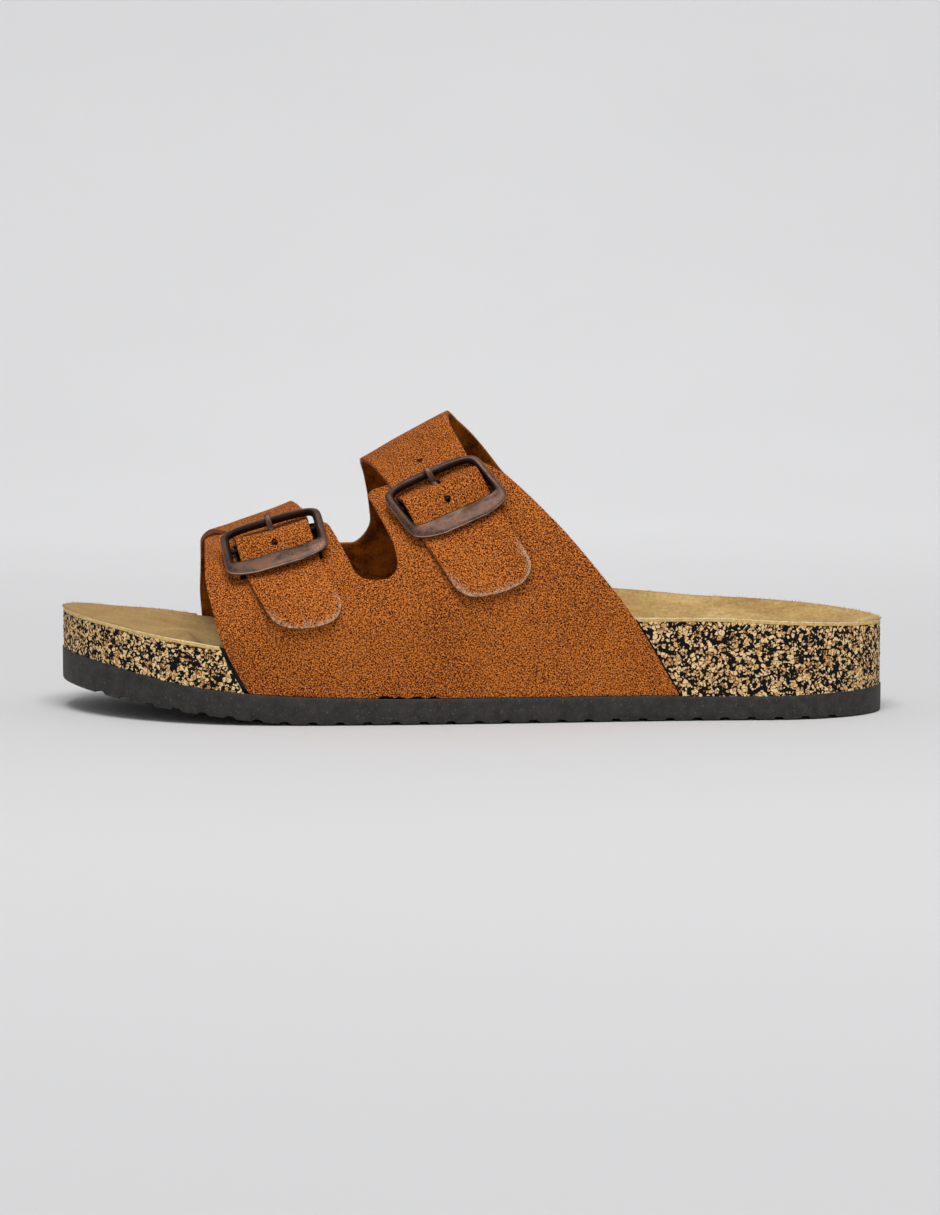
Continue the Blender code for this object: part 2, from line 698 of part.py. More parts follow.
def strap_lift(flat):
    """Offset of the straps' inner face from the last, at points of the flat pattern."""
    x, girth = flat[:, 0], flat[:, 1]
    nearest = np.full(len(x), np.inf)
    lift = np.zeros(len(x))
    for strap in STRAPS:
        along, up = strap_frame(strap, x, girth)
        nearer = np.abs(along) < nearest
        lift = np.where(nearer, UPPER_THICK + LIFT(up), lift)
        nearest = np.where(nearer, np.abs(along), nearest)
    return lift


def panel_point(strap, along, up, offset):
    """A point over the last on a strap, in millimetres."""
    x, girth = strap_point(strap, along, up)
    return Vector(on_last(x, girth, offset)[0])


def buckle_matrix(strap):
    """Where a buckle sits: X along its bars, Y up the strap, Z out, on the middle of a chord of the panel."""
    top = panel_point(strap, 0.0, CHORD_HALF, UPPER_THICK)
    bottom = panel_point(strap, 0.0, -CHORD_HALF, UPPER_THICK)
    toe_end = panel_point(strap, -CHORD_HALF, 0.0, UPPER_THICK)
    heel_end = panel_point(strap, CHORD_HALF, 0.0, UPPER_THICK)
    up = (top - bottom).normalized()
    out = (heel_end - toe_end).cross(up).normalized()
    along = up.cross(out)
    matrix = Matrix((along, up, out)).transposed().to_4x4()
    matrix.translation = (top + bottom) / 2
    return matrix


def highest(strap, places, offset):
    """Greatest height over a buckle's chord of a face at an offset from the last, at places on the strap."""
    inverse = buckle_matrix(strap).inverted()
    return max((inverse @ panel_point(strap, along, up, offset(up))).z for along, up in places)


def strap_face(up):
    """Offset of a strap's outer face from the last."""
    return 2 * UPPER_THICK + float(LIFT(up))


def frame_seat(strap):
    """Height of the frame's underside over the chord: clear of the strap under both bars."""
    lower = np.linspace(-BUCKLE_HALF_HEIGHT, -WINDOW_BOTTOM, SEAT_STEPS)
    upper = np.linspace(WINDOW_TOP, BUCKLE_HALF_HEIGHT, SEAT_STEPS)
    across = np.linspace(-WINDOW_HALF_LENGTH, WINDOW_HALF_LENGTH, SEAT_STEPS)
    places = [(along, up) for along in across for up in (*lower, *upper)]
    return highest(strap, places, strap_face) + SEAT_GAP


def bar_height(strap):
    """Height of the centre bar's axis over the chord."""
    places = [(along, BAR_UP) for along in (-WINDOW_HALF_LENGTH, 0.0, WINDOW_HALF_LENGTH)]
    return highest(strap, places, lambda up: UPPER_THICK) + BAR_OVER_PANEL + BAR_RADIUS


def frame_ring(angle, seat, bar_z):
    """Section of a buckle frame at an angle round it, from the outer foot to the inner foot and back."""
    cos, sin = math.cos(angle), math.sin(angle)
    reach = math.copysign(abs(cos) ** (2 / BUCKLE_SQUARENESS), cos)
    rise = math.copysign(abs(sin) ** (2 / BUCKLE_SQUARENESS), sin)
    bow = BUCKLE_TOP_BOW if sin > 0 else BUCKLE_BOTTOM_BOW
    outer = np.array([BUCKLE_HALF_LENGTH * reach, BUCKLE_HALF_HEIGHT * rise * (1 - bow * reach**2)])
    window_rise = WINDOW_TOP * (1 - WINDOW_TOP_BOW * reach**2) if sin > 0 else WINDOW_BOTTOM
    inner = np.array([WINDOW_HALF_LENGTH * reach, window_rise * rise])
    inwards = (inner - outer) / np.linalg.norm(inner - outer)
    rail = np.clip(1 - (outer[1] / RAIL_HALF_HEIGHT) ** 2, 0.0, 1.0) if abs(reach) > RAIL_REACH else 0.0
    foot = seat - rail * max(0.0, seat - bar_z + RAIL_BELOW_BAR)
    top = seat + FRAME_THICK
    outer_top = top - BUCKLE_FALL * max(0.0, -rise)
    chamfer = inwards * FRAME_CHAMFER
    section = (
        (outer, foot),
        (outer, outer_top - FRAME_CHAMFER),
        (outer + chamfer, outer_top),
        (inner - chamfer, top),
        (inner, top - FRAME_CHAMFER),
        (inner, foot),
    )
    return [(flat[0], flat[1], height) for flat, height in section]


def swept(name, path, half_width, half_thick, finish=None):
    """A flat bar swept along a path of (Y, Z) points at X = 0, with chamfered corners."""
    path = np.asarray(path, float)
    along = np.gradient(path, axis=0)
    along /= np.linalg.norm(along, axis=1)[:, None]
    out = np.stack([-along[:, 1], along[:, 0]], 1)
    rings = []
    for point, normal in zip(path, out):
        rings.append([(half_width * u, *(point + normal * half_thick * v)) for u, v in PRONG_SECTION])
    return ring_body(name, rings, finish)


def prong_path(seat, bar_z):
    """(Y, Z) points of a prong, from its hook over the centre bar to its tip on the upper bar."""
    radius = BAR_RADIUS + GAP + PRONG_HALF_THICK
    turns = np.linspace(*PRONG_HOOK, ARC_STEPS)
    hook = [(BAR_UP - radius * math.cos(turn), bar_z + radius * math.sin(turn)) for turn in turns]
    tip_z = seat + FRAME_THICK + GAP + PRONG_HALF_THICK
    bend = (WINDOW_TOP - 2 * PRONG_RISE, tip_z - PRONG_RISE)
    return [*hook, bend, (WINDOW_TOP, tip_z), (PRONG_TIP_UP, tip_z)]


def centre_bar(name, bar_z, finish):
    """The round bar that joins a frame's side rails under the strap."""
    half = WINDOW_HALF_LENGTH + BAR_INTO_RAIL
    turns = np.arange(BAR_SIDES) * 2 * math.pi / BAR_SIDES
    circle = [(BAR_UP + BAR_RADIUS * math.cos(turn), bar_z + BAR_RADIUS * math.sin(turn)) for turn in turns]
    return ring_body(name, [[(x, *point) for point in circle] for x in (-half, half)], finish)


def bar_loop(name, bar_z, side):
    """A loop of the upper round the centre bar, on one side of the prong."""
    inner = BAR_RADIUS + LOOP_INNER
    outer = inner + LOOP_THICK
    turns = np.linspace(0.0, math.pi, ARC_STEPS)
    foot = bar_z - BAR_RADIUS - BAR_OVER_PANEL - LOOP_SUNK
    over = [(outer * math.cos(turn), bar_z + outer * math.sin(turn)) for turn in turns]
    under = [(inner * math.cos(turn), bar_z + inner * math.sin(turn)) for turn in turns[::-1]]
    arch = [(outer, foot), *over, (-outer, foot), (-inner, foot), *under, (inner, foot)]
    return ring_body(name, [[(side * x, BAR_UP + y, z) for y, z in arch] for x in LOOP_SPAN])


def build_buckle(strap, root, metal):
    """A buckle frame and its prong, seated on a strap. Returns the upper's loops and the prong's hole."""
    matrix = buckle_matrix(strap)
    place = Matrix.LocRotScale(matrix.translation * METRES, matrix.to_quaternion(), None)
    seat, bar_z = frame_seat(strap), bar_height(strap)
    angles = (np.arange(FRAME_STEPS) + 0.5) * 2 * math.pi / FRAME_STEPS
    rings = [frame_ring(angle, seat, bar_z) for angle in angles]
    frame = ring_body(f"buckle_frame_{strap.name}", rings, metal, closed=True)
    bar = helper(centre_bar(f"centre_bar_{strap.name}", bar_z, metal))
    path = prong_path(seat, bar_z)
    prong = swept(f"buckle_prong_{strap.name}", path, PRONG_HALF_WIDTH, PRONG_HALF_THICK, metal)
    hole_half_width, hole_half_thick = PRONG_HALF_WIDTH + HOLE_GAP, PRONG_HALF_THICK + HOLE_GAP
    hole = helper(swept(f"prong_hole_{strap.name}", path, hole_half_width, hole_half_thick))
    toe_loop = helper(bar_loop(f"toe_loop_{strap.name}", bar_z, -1))
    heel_loop = helper(bar_loop(f"heel_loop_{strap.name}", bar_z, 1))
    for thing in (frame, bar, prong, hole, toe_loop, heel_loop):
        thing.parent = root
        thing.matrix_basis = place
    combine(frame, bar, "UNION")
    return (toe_loop, heel_loop), hole


def run_on(knot, foot_x, side):
    """Place of a panel's end edge when it is run on straight from its lowest knot to below its foot."""
    x, girth, _ = flat_knot(knot)
    height = girth if side == LATERAL else whole_girth(x)[0] - girth
    return foot_x + (foot_x - x) * RECESS_BELOW / height


def recess_outline(front, rear, foot, side):
    """Flat pattern of the recess that a panel is set into: its ends moved out, and run on below it."""
    front_foot = run_on(front[0], foot[0], side) - RECESS_FRONT_GAP
    rear_foot = run_on(rear[-1], foot[1], side) + RECESS_REAR_GAP
    knots = [(x - RECESS_FRONT_GAP, girth, radius) for x, girth, radius in map(flat_knot, front)]
    knots += [(x + RECESS_REAR_GAP, girth, radius) for x, girth, radius in map(flat_knot, rear)]
    knots += foot_line(rear_foot, front_foot, side, RECESS_BELOW)
    return rounded_outline(knots)


def constant(value):
    """An offset that is the same all over a pattern."""
    return lambda flat: np.full(len(flat), value)


def build_upper(root, suede, buckle_parts):
    """The upper: inner panel with straps, outer panel with tabs, and the loops that join them."""
    inner, outer = strap_lift, lambda flat: strap_lift(flat) + UPPER_THICK
    upper = shell_on_last("upper", medial_outline(), inner, outer, suede, STRAPS)
    inner, outer = constant(0.0), constant(UPPER_THICK)
    panel = helper(shell_on_last("lateral_panel", lateral_outline(), inner, outer, suede))
    for thing in (upper, panel):
        thing.parent = root
    for loops, _ in buckle_parts:
        for loop in loops:
            combine(upper, loop, "UNION")
    combine(upper, panel, "UNION")
    for _, hole in buckle_parts:
        combine(upper, hole, "DIFFERENCE")
    return upper


def cut_recesses(root, pieces):
    """Cuts the shallow recesses for both panels into the sole pieces."""
    sides = (
        ("recess_lateral", LATERAL_FRONT, LATERAL_REAR, LATERAL_FOOT_X, LATERAL),
        ("recess_medial", MEDIAL_FRONT, MEDIAL_REAR, MEDIAL_FOOT_X, MEDIAL),
    )
    for name, front, rear, foot, side in sides:
        outline = recess_outline(front, rear, foot, side)
        cutter = helper(shell_on_last(name, outline, constant(-GAP), constant(UPPER_THICK + RECESS_BELOW)))
        cutter.parent = root
        for piece in pieces:
            combine(piece, cutter, "DIFFERENCE")


def centre_on_floor(root, pieces):
    """Moves the whole sandal so that its box is centred over the origin."""
    points = np.array([vert.co for piece in pieces for vert in piece.data.vertices])
    middle = (points.min(axis=0) + points.max(axis=0)) / 2
    root.location = (-middle[0], -middle[1], -points[:, 2].min())


def main():
    """Builds every piece under one root."""
    for thing in list(bpy.data.objects):
        bpy.data.objects.remove(thing, do_unlink=True)
    root = bpy.data.objects.new("sandal", None)
    bpy.context.scene.collection.objects.link(root)
    rubber = finish_of("dark rubber", (0.04, 0.038, 0.035), 0.75)
    cork = finish_of("speckled cork", (0.28, 0.18, 0.09), 0.85)
    lining = finish_of("tan suede", (0.48, 0.31, 0.12), 0.9)
    suede = finish_of("rust suede", (0.32, 0.09, 0.02), 0.85)
    metal = finish_of("antique copper", (0.22, 0.12, 0.08), 0.4, 1.0)
    pieces = [build_outsole(rubber), build_midsole(cork), build_insole(lining)]
    for piece in pieces:
        piece.parent = root
    buckle_parts = [build_buckle(strap, root, metal) for strap in STRAPS]
    pieces.append(build_upper(root, suede, buckle_parts))
    cut_recesses(root, pieces[1:3])
    centre_on_floor(root, pieces)


main()
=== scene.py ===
"""Looks of the flat two-strap sandal for the left foot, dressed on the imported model.

Sizes are millimetres in the sandal's own frame: the toe points to -X, the outer side of the foot to -Y and
the floor is at Z = 0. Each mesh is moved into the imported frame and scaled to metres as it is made.
"""

import logging
import math
from collections.abc import Callable, Sequence
from dataclasses import dataclass, field
from enum import IntEnum
from typing import NamedTuple

import bmesh
import bpy
import numpy as np
from mathutils import Matrix, Vector
from mathutils.geometry import delaunay_2d_cdt


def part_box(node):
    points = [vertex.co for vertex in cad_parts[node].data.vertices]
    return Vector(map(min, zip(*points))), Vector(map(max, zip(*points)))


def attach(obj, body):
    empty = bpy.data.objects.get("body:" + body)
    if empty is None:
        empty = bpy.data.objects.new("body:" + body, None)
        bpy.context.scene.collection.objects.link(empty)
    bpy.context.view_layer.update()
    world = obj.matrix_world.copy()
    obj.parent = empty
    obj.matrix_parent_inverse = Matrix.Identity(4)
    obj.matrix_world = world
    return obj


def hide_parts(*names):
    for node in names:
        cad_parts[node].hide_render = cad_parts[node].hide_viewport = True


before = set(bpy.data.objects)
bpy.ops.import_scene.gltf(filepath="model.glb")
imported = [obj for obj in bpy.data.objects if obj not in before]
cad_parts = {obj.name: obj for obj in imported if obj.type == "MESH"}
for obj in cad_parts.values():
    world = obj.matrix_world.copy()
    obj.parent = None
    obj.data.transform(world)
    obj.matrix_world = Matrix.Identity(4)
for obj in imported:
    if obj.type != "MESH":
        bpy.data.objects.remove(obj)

log = logging.getLogger("sandal")

METRES = 0.001
Array = np.ndarray
Pair = tuple[float, float]
Triple = tuple[float, float, float]
Colour = tuple[float, float, float, float]
Socket = bpy.types.NodeSocket
Feed = Socket | float | Sequence[float]
Feeds = dict[str | int, Feed]


class Side(IntEnum):
    """Sides of the foot, by the sign of Y."""

    LATERAL = -1
    MEDIAL = 1


class SoleRow(NamedTuple):
    """A section of the sole at a distance t from the toe's tip: half widths, and then heights."""

    t: float
    lateral: float
    medial: float
    outsole_top: float
    rim_lateral: float
    rim_medial: float
    bed: float


SOLE_ROWS = (
    SoleRow(0, 49.0, 46.0, 20.5, 34.2, 34.2, 34.2),
    SoleRow(15, 49.0, 46.0, 18.4, 32.1, 31.4, 29.2),
    SoleRow(30, 49.0, 46.2, 15.6, 29.8, 29.7, 26.2),
    SoleRow(44, 49.0, 46.8, 13.0, 27.6, 27.8, 23.6),
    SoleRow(60, 49.2, 47.8, 11.0, 25.6, 26.4, 21.0),
    SoleRow(85, 49.3, 49.0, 9.4, 24.4, 26.2, 19.0),
    SoleRow(115, 47.6, 48.2, 8.6, 25.6, 29.4, 19.6),
    SoleRow(145, 44.4, 44.0, 8.5, 29.0, 35.4, 23.2),
    SoleRow(168, 41.4, 39.4, 8.5, 32.2, 38.8, 26.0),
    SoleRow(194, 38.0, 36.2, 8.5, 34.2, 37.6, 27.2),
    SoleRow(219, 35.4, 34.4, 8.0, 34.0, 35.5, 26.2),
    SoleRow(240, 34.3, 34.0, 8.0, 32.9, 34.4, 25.2),
    SoleRow(260, 34.0, 34.0, 8.5, 31.9, 32.8, 26.0),
    SoleRow(278, 33.8, 34.0, 9.0, 31.0, 31.0, 31.0),
)


class LastRow(NamedTuple):
    """An upright section of the last: the upper's ridge, the walls' heights and the arch's fullness."""

    x: float
    ridge_z: float
    ridge_y: float
    wall_lateral: float
    wall_medial: float
    fullness: float


LAST_ROWS = (
    LastRow(-104, 54.3, 11.0, 29.0, 31.0, 0.48),
    LastRow(-88, 60.3, 12.0, 28.0, 31.0, 0.48),
    LastRow(-61, 69.8, 13.0, 28.0, 31.0, 0.46),
    LastRow(-38, 84.1, 14.0, 30.0, 34.0, 0.38),
    LastRow(-8, 100.0, 15.0, 33.0, 39.0, 0.34),
    LastRow(20, 112.8, 15.5, 36.0, 41.0, 0.34),
    LastRow(45, 121.8, 15.5, 37.0, 41.0, 0.34),
    LastRow(74, 128.8, 15.5, 37.0, 40.0, 0.34),
)


class Knot(NamedTuple):
    """A corner of a panel's edge: place, height (None is the ridge's), side and corner radius."""

    x: float
    z: float | None
    side: Side
    radius: float


LATERAL_FRONT = (
    Knot(-80.5, 26.4, Side.LATERAL, 90.0),
    Knot(-86.4, 44.0, Side.LATERAL, 60.0),
    Knot(-89.0, 56.8, Side.LATERAL, 3.0),
)
LATERAL_SLOT = (
    Knot(-47.0, 63.6, Side.LATERAL, 3.0),
    Knot(-36.3, 46.4, Side.LATERAL, 7.0),
    Knot(-22.3, 46.4, Side.LATERAL, 7.0),
    Knot(-24.8, 57.5, Side.LATERAL, 12.0),
    Knot(-34.6, 73.0, Side.LATERAL, 3.0),
)
LATERAL_REAR = (
    Knot(2.6, 84.4, Side.LATERAL, 12.0),
    Knot(12.0, 79.8, Side.LATERAL, 5.0),
    Knot(32.2, 60.7, Side.LATERAL, 120.0),
    Knot(53.7, 34.8, Side.LATERAL, 120.0),
)
LATERAL_FOOT_X = (-71.6, 69.0)
MEDIAL_FRONT = (Knot(-95.4, 36.0, Side.MEDIAL, 40.0), Knot(-93.2, 54.0, Side.MEDIAL, 20.0))
MEDIAL_SLOT = (
    Knot(-60.0, 64.0, Side.MEDIAL, 14.0),
    Knot(-54.6, 52.5, Side.MEDIAL, 7.0),
    Knot(-34.2, 52.5, Side.MEDIAL, 7.0),
    Knot(-35.5, 70.0, Side.MEDIAL, 30.0),
)
MEDIAL_REAR = (
    Knot(10.6, 79.2, Side.MEDIAL, 60.0),
    Knot(28.5, 58.0, Side.MEDIAL, 120.0),
    Knot(51.5, 34.8, Side.MEDIAL, 120.0),
)
MEDIAL_FOOT_X = (-93.5, 68.0)


class Strap(NamedTuple):
    """A strap: its place on the ridge, its buckle's place and slope, its half width, lower end and skew."""

    name: str
    ridge_front: float
    ridge_rear: float
    buckle_x: float
    buckle_z: float
    slope: float
    half: float
    tip: float
    lean: float
    skew: float
    holes: tuple[float, ...]


STRAPS = (
    Strap("front", -88.0, -61.0, -62.9, 54.0, math.radians(11.0), 12.6, 32.4, 0.3, 0.0, (-0.4,)),
    Strap("rear", -38.0, -10.0, -6.9, 69.9, math.radians(24.0), 13.5, 37.1, 0.1, 0.13, (-1.0, 23.2)),
)


class StrapLift(NamedTuple):
    """Height of a strap's inner face over the panel, at a distance up it from the buckle's middle."""

    up: float
    lift: float


STRAP_LIFTS = (
    StrapLift(-60.0, 1.5),
    StrapLift(-34.0, 1.4),
    StrapLift(-20.0, 0.8),
    StrapLift(-12.0, 0.4),
    StrapLift(-7.0, 0.4),
    StrapLift(3.8, 3.9),
    StrapLift(9.0, 0.6),
    StrapLift(12.0, 0.4),
    StrapLift(28.0, -1.8),
    StrapLift(90.0, -1.8),
)


class Bite(NamedTuple):
    """A small rounded bite out of the outer panel's lower edge."""

    x: float
    half_width: float
    depth: float


PANEL_BITES = (Bite(-27.5, 2.3, 0.9), Bite(-22.6, 1.4, 0.6), Bite(-17.2, 1.7, 0.8), Bite(-12.0, 1.7, 0.7))


class Crease(NamedTuple):
    """A soft trough in a panel from one place and girth to another; a ridge where its depth is negative."""

    start: Pair
    end: Pair
    depth: float
    width: float


PANEL_CREASES = (
    Crease((-34.0, 34.0), (-6.0, 14.0), 0.35, 7.0),
    Crease((-18.0, 40.0), (14.0, 24.0), -0.3, 9.0),
    Crease((16.0, 46.0), (40.0, 20.0), 0.3, 8.0),
    Crease((-76.0, 30.0), (-60.0, 12.0), 0.25, 7.0),
)
STRAP_CREASES = (
    Crease((-62.0, 76.0), (-84.0, 90.0), 0.3, 6.0),
    Crease((-20.0, 92.0), (-34.0, 108.0), 0.35, 7.0),
    Crease((-8.0, 118.0), (-26.0, 132.0), -0.3, 8.0),
)


class SmoothCurve:
    """A smooth curve through values at rising places that never overshoots them."""

    def __init__(self, places: Sequence[float], values: Sequence[float]) -> None:
        """Finds the curve's slope at each place.

        Args:
            places: Rising places.
            values: The value at each place.
        """
        self.places = np.array(places, float)
        self.values = np.array(values, float)
        self.steps = np.diff(self.places)
        slopes = np.diff(self.values) / self.steps
        self.rates = np.zeros_like(self.values)
        self.rates[0] = slopes[0]
        self.rates[-1] = slopes[-1]
        for i in range(1, len(self.values) - 1):
            before, after = slopes[i - 1], slopes[i]
            if before * after > 0:
                near = 2 * self.steps[i] + self.steps[i - 1]
                far = self.steps[i] + 2 * self.steps[i - 1]
                self.rates[i] = (near + far) / (near / before + far / after)

    def __call__(self, place: Array | float) -> Array:
        """The curve's value at places.

        Args:
            place: The places.

        Returns:
            The value at each place, or at the nearest end.
        """
        place = np.asarray(place, float)
        i = np.clip(np.searchsorted(self.places, place) - 1, 0, len(self.steps) - 1)
        f = np.clip((place - self.places[i]) / self.steps[i], 0.0, 1.0)
        rise = self.values[i + 1] - self.values[i]
        start = self.rates[i] * self.steps[i]
        end = self.rates[i + 1] * self.steps[i]
        square, cube = 3 * rise - 2 * start - end, start + end - 2 * rise
        return self.values[i] + f * (start + f * (square + f * cube))


def table_curves(rows: Sequence[NamedTuple], key: str) -> dict[str, SmoothCurve]:
    """One smooth curve for each column of a table, over its key column.

    Args:
        rows: The table.
        key: Name of the key column.

    Returns:
        The curves by column name.
    """
    places = [getattr(row, key) for row in rows]
    names = [name for name in rows[0]._fields if name != key]
    return {name: SmoothCurve(places, [getattr(row, name) for row in rows]) for name in names}


@dataclass
class SoleShape:
    """Outline and heights of the sole."""

    length: float = 278.0
    toe_tip_y: float = 12.0
    toe_axis_length: float = 70.0
    toe_round_lateral: float = 75.0
    toe_round_medial: float = 50.0
    toe_power: float = 2.0
    heel_round_lateral: float = 42.0
    heel_round_medial: float = 36.0
    heel_power_lateral: float = 2.0
    heel_power_medial: float = 2.3
    toe_spring: float = 9.7
    spring_length: float = 83.0
    spring_power: float = 1.2
    dish_power: float = 2.6
    curves: dict[str, SmoothCurve] = field(default_factory=lambda: table_curves(SOLE_ROWS, "t"))

    def places(self, count: int) -> Array:
        """Places of sections along the sole, close together at its rounded ends."""
        turn = np.linspace(0.0, math.pi, count + 2)[1:-1]
        return -np.cos(turn) * self.length / 2

    def rounded_end(self, distance: Array, length: float, power: float) -> Array:
        """How wide a rounded end is, from 0 at its tip to 1 where it is full."""
        short = 1 - np.clip(distance / length, 0.0, 1.0)
        return np.clip(1 - short**power, 0.0, 1.0) ** (1 / power)

    def edge(self, x: Array, side: Side, grow: float = 0.0) -> Array:
        """Y of one edge of the outline.

        Args:
            x: Places along the sole.
            side: The side of the foot.
            grow: How far the outline is grown outwards all round.

        Returns:
            Y at each place.
        """
        t = (np.asarray(x, float) + self.length / 2 + grow) * self.length / (self.length + 2 * grow)
        outer = side == Side.LATERAL
        axis = self.toe_tip_y * np.clip(1 - t / self.toe_axis_length, 0.0, 1.0) ** 2
        half = self.curves["lateral" if outer else "medial"](t) + grow
        toe_round = self.toe_round_lateral if outer else self.toe_round_medial
        heel_round = self.heel_round_lateral if outer else self.heel_round_medial
        heel_power = self.heel_power_lateral if outer else self.heel_power_medial
        toe = self.rounded_end(t, toe_round, self.toe_power)
        heel = self.rounded_end(self.length - t, heel_round, heel_power)
        return axis + side * half * toe * heel

    def floor(self, x: Array) -> Array:
        """Height of the outsole's underside, which springs up to the toe."""
        t = np.asarray(x, float) + self.length / 2
        return self.toe_spring * np.clip(1 - t / self.spring_length, 0.0, 1.0) ** self.spring_power

    def outsole_top(self, x: Array) -> Array:
        """Height of the outsole's top."""
        return self.curves["outsole_top"](np.asarray(x, float) + self.length / 2)

    def bed(self, x: Array, across: Array) -> Array:
        """Height of the insole's top, at across from -1 on the outer rim to 1 on the inner rim.

        Args:
            x: Places along the sole.
            across: Positions across it.

        Returns:
            The height at each point.
        """
        t = np.asarray(x, float) + self.length / 2
        rim = np.where(across < 0, self.curves["rim_lateral"](t), self.curves["rim_medial"](t))
        bed = self.curves["bed"](t)
        return bed + (rim - bed) * np.abs(across) ** self.dish_power


@dataclass
class Last:
    """The form that the upper is shaped on, measured by place and girth up from the outer side's sole."""

    sole: SoleShape
    thick: float = 1.8
    foot_gap: float = 0.3
    medial_fuller: float = 0.16
    section_steps: int = 81
    normal_step: float = 0.1
    curves: dict[str, SmoothCurve] = field(default_factory=lambda: table_curves(LAST_ROWS, "x"))

    def half_section(self, x: Array, side: Side) -> tuple[Array, Array, Array]:
        """Half sections from the outsole's top to the ridge, a row for each place.

        Args:
            x: Places along the sandal.
            side: The side of the foot.

        Returns:
            Y, Z and girth along each half section.
        """
        x = np.asarray(x, float)[:, None]
        base_y = self.sole.edge(x, side) - side * self.thick
        wall_z = self.curves["wall_lateral" if side == Side.LATERAL else "wall_medial"](x)
        ridge_y = self.curves["ridge_y"](x)
        ridge_z = self.curves["ridge_z"](x) - self.thick
        full = self.curves["fullness"](x) + (self.medial_fuller if side == Side.MEDIAL else 0.0)
        f = np.linspace(0.0, 1.0, self.section_steps)[None, :]
        start, leave, reach, end = (1 - f) ** 3, 3 * (1 - f) ** 2 * f, 3 * (1 - f) * f**2, f**3
        y = base_y * (start + leave) + (ridge_y + (base_y - ridge_y) * full) * reach + ridge_y * end
        z = wall_z * start + (wall_z + (ridge_z - wall_z) * full) * leave + ridge_z * (reach + end)
        y = np.hstack([base_y, y])
        z = np.hstack([self.sole.outsole_top(x) + self.foot_gap, z])
        girth = np.cumsum(np.hypot(np.diff(y, axis=1), np.diff(z, axis=1)), axis=1)
        return y, z, np.hstack([np.zeros_like(base_y), girth])

    def along_section(self, x: Array, girth: Array, side: Side) -> Array:
        """Points at a girth up from the sole on one side, going past the ends in a straight line.

        Args:
            x: Places along the sandal.
            girth: Girth at each place.
            side: The side of the foot.

        Returns:
            The points.
        """
        y, z, run = self.half_section(x, side)
        i = np.clip((run <= girth[:, None]).sum(axis=1) - 1, 0, run.shape[1] - 2)
        row = np.arange(len(x))
        f = (girth - run[row, i]) / (run[row, i + 1] - run[row, i])
        point_y = y[row, i] + f * (y[row, i + 1] - y[row, i])
        point_z = z[row, i] + f * (z[row, i + 1] - z[row, i])
        return np.stack([x, point_y, point_z], 1)

    def half_girth(self, x: Array | float, side: Side) -> Array:
        """Girth from the sole up to the ridge on one side."""
        return self.half_section(np.atleast_1d(x), side)[2][:, -1]

    def whole_girth(self, x: Array | float) -> Array:
        """Girth from the outer side's sole, over the ridge, to the inner side's sole."""
        return self.half_girth(x, Side.LATERAL) + self.half_girth(x, Side.MEDIAL)

    def surface(self, x: Array, girth: Array) -> Array:
        """Points at a girth from the outer side's sole, over the ridge and down the inner side.

        Args:
            x: Places along the sandal.
            girth: Girth at each place.

        Returns:
            The points.
        """
        over = girth > self.half_girth(x, Side.LATERAL)
        outer_side = self.along_section(x, girth, Side.LATERAL)
        inner_side = self.along_section(x, self.whole_girth(x) - girth, Side.MEDIAL)
        return np.where(over[:, None], inner_side, outer_side)

    def normals(self, x: Array, girth: Array) -> Array:
        """Outward normals at points of the last.

        Args:
            x: Places along the sandal.
            girth: Girth at each place.

        Returns:
            A normal of length 1 for each point.
        """
        step = self.normal_step
        along = self.surface(x + step, girth) - self.surface(x - step, girth)
        up = self.surface(x, girth + step) - self.surface(x, girth - step)
        normal = np.cross(along, up)
        return normal / np.linalg.norm(normal, axis=1)[:, None]

    def offset(self, x: Array | float, girth: Array | float, out: Array | float) -> Array:
        """Points at a distance out from the last.

        Args:
            x: Places along the sandal.
            girth: Girth at each place.
            out: Distance out, for each point or for all.

        Returns:
            The points.
        """
        x = np.atleast_1d(np.asarray(x, float))
        girth = np.atleast_1d(np.asarray(girth, float))
        out = np.asarray(out, float).reshape(-1, 1)
        return self.surface(x, girth) + self.normals(x, girth) * out

    def girth_at(self, x: float, z: float, side: Side) -> float:
        """Girth from the sole up to a height on one side."""
        _, heights, run = self.half_section(np.array([x]), side)
        return float(np.interp(z, heights[0], run[0]))


def corner_arc(before: Array, corner: Array, after: Array, radius: float, steps: int) -> list[Array]:
    """Points of an arc that rounds a corner of an outline.

    Args:
        before: The corner before this one.
        corner: The corner to round.
        after: The corner after it.
        radius: Radius wanted; the arc is no longer than half of either side.
        steps: Number of steps round the arc.

    Returns:
        The arc's points, in order.
    """
    least = 0.1
    back, ahead = before - corner, after - corner
    room = min(np.linalg.norm(back), np.linalg.norm(ahead)) / 2 - least
    back = back / np.linalg.norm(back)
    ahead = ahead / np.linalg.norm(ahead)
    half_angle = math.acos(np.clip(back @ ahead, -1.0, 1.0)) / 2
    cut = min(radius / math.tan(half_angle), room)
    if cut < least:
        return [corner]
    radius = cut * math.tan(half_angle)
    bisector = (back + ahead) / np.linalg.norm(back + ahead)
    centre = corner + bisector * radius / math.sin(half_angle)
    first = corner + back * cut - centre
    last = corner + ahead * cut - centre
    turn = math.atan2(first[0] * last[1] - first[1] * last[0], first @ last)
    arc = []
    for angle in np.linspace(0.0, turn, steps + 1):
        cos, sin = math.cos(angle), math.sin(angle)
        arc.append(centre + np.array([first[0] * cos - first[1] * sin, first[0] * sin + first[1] * cos]))
    return arc


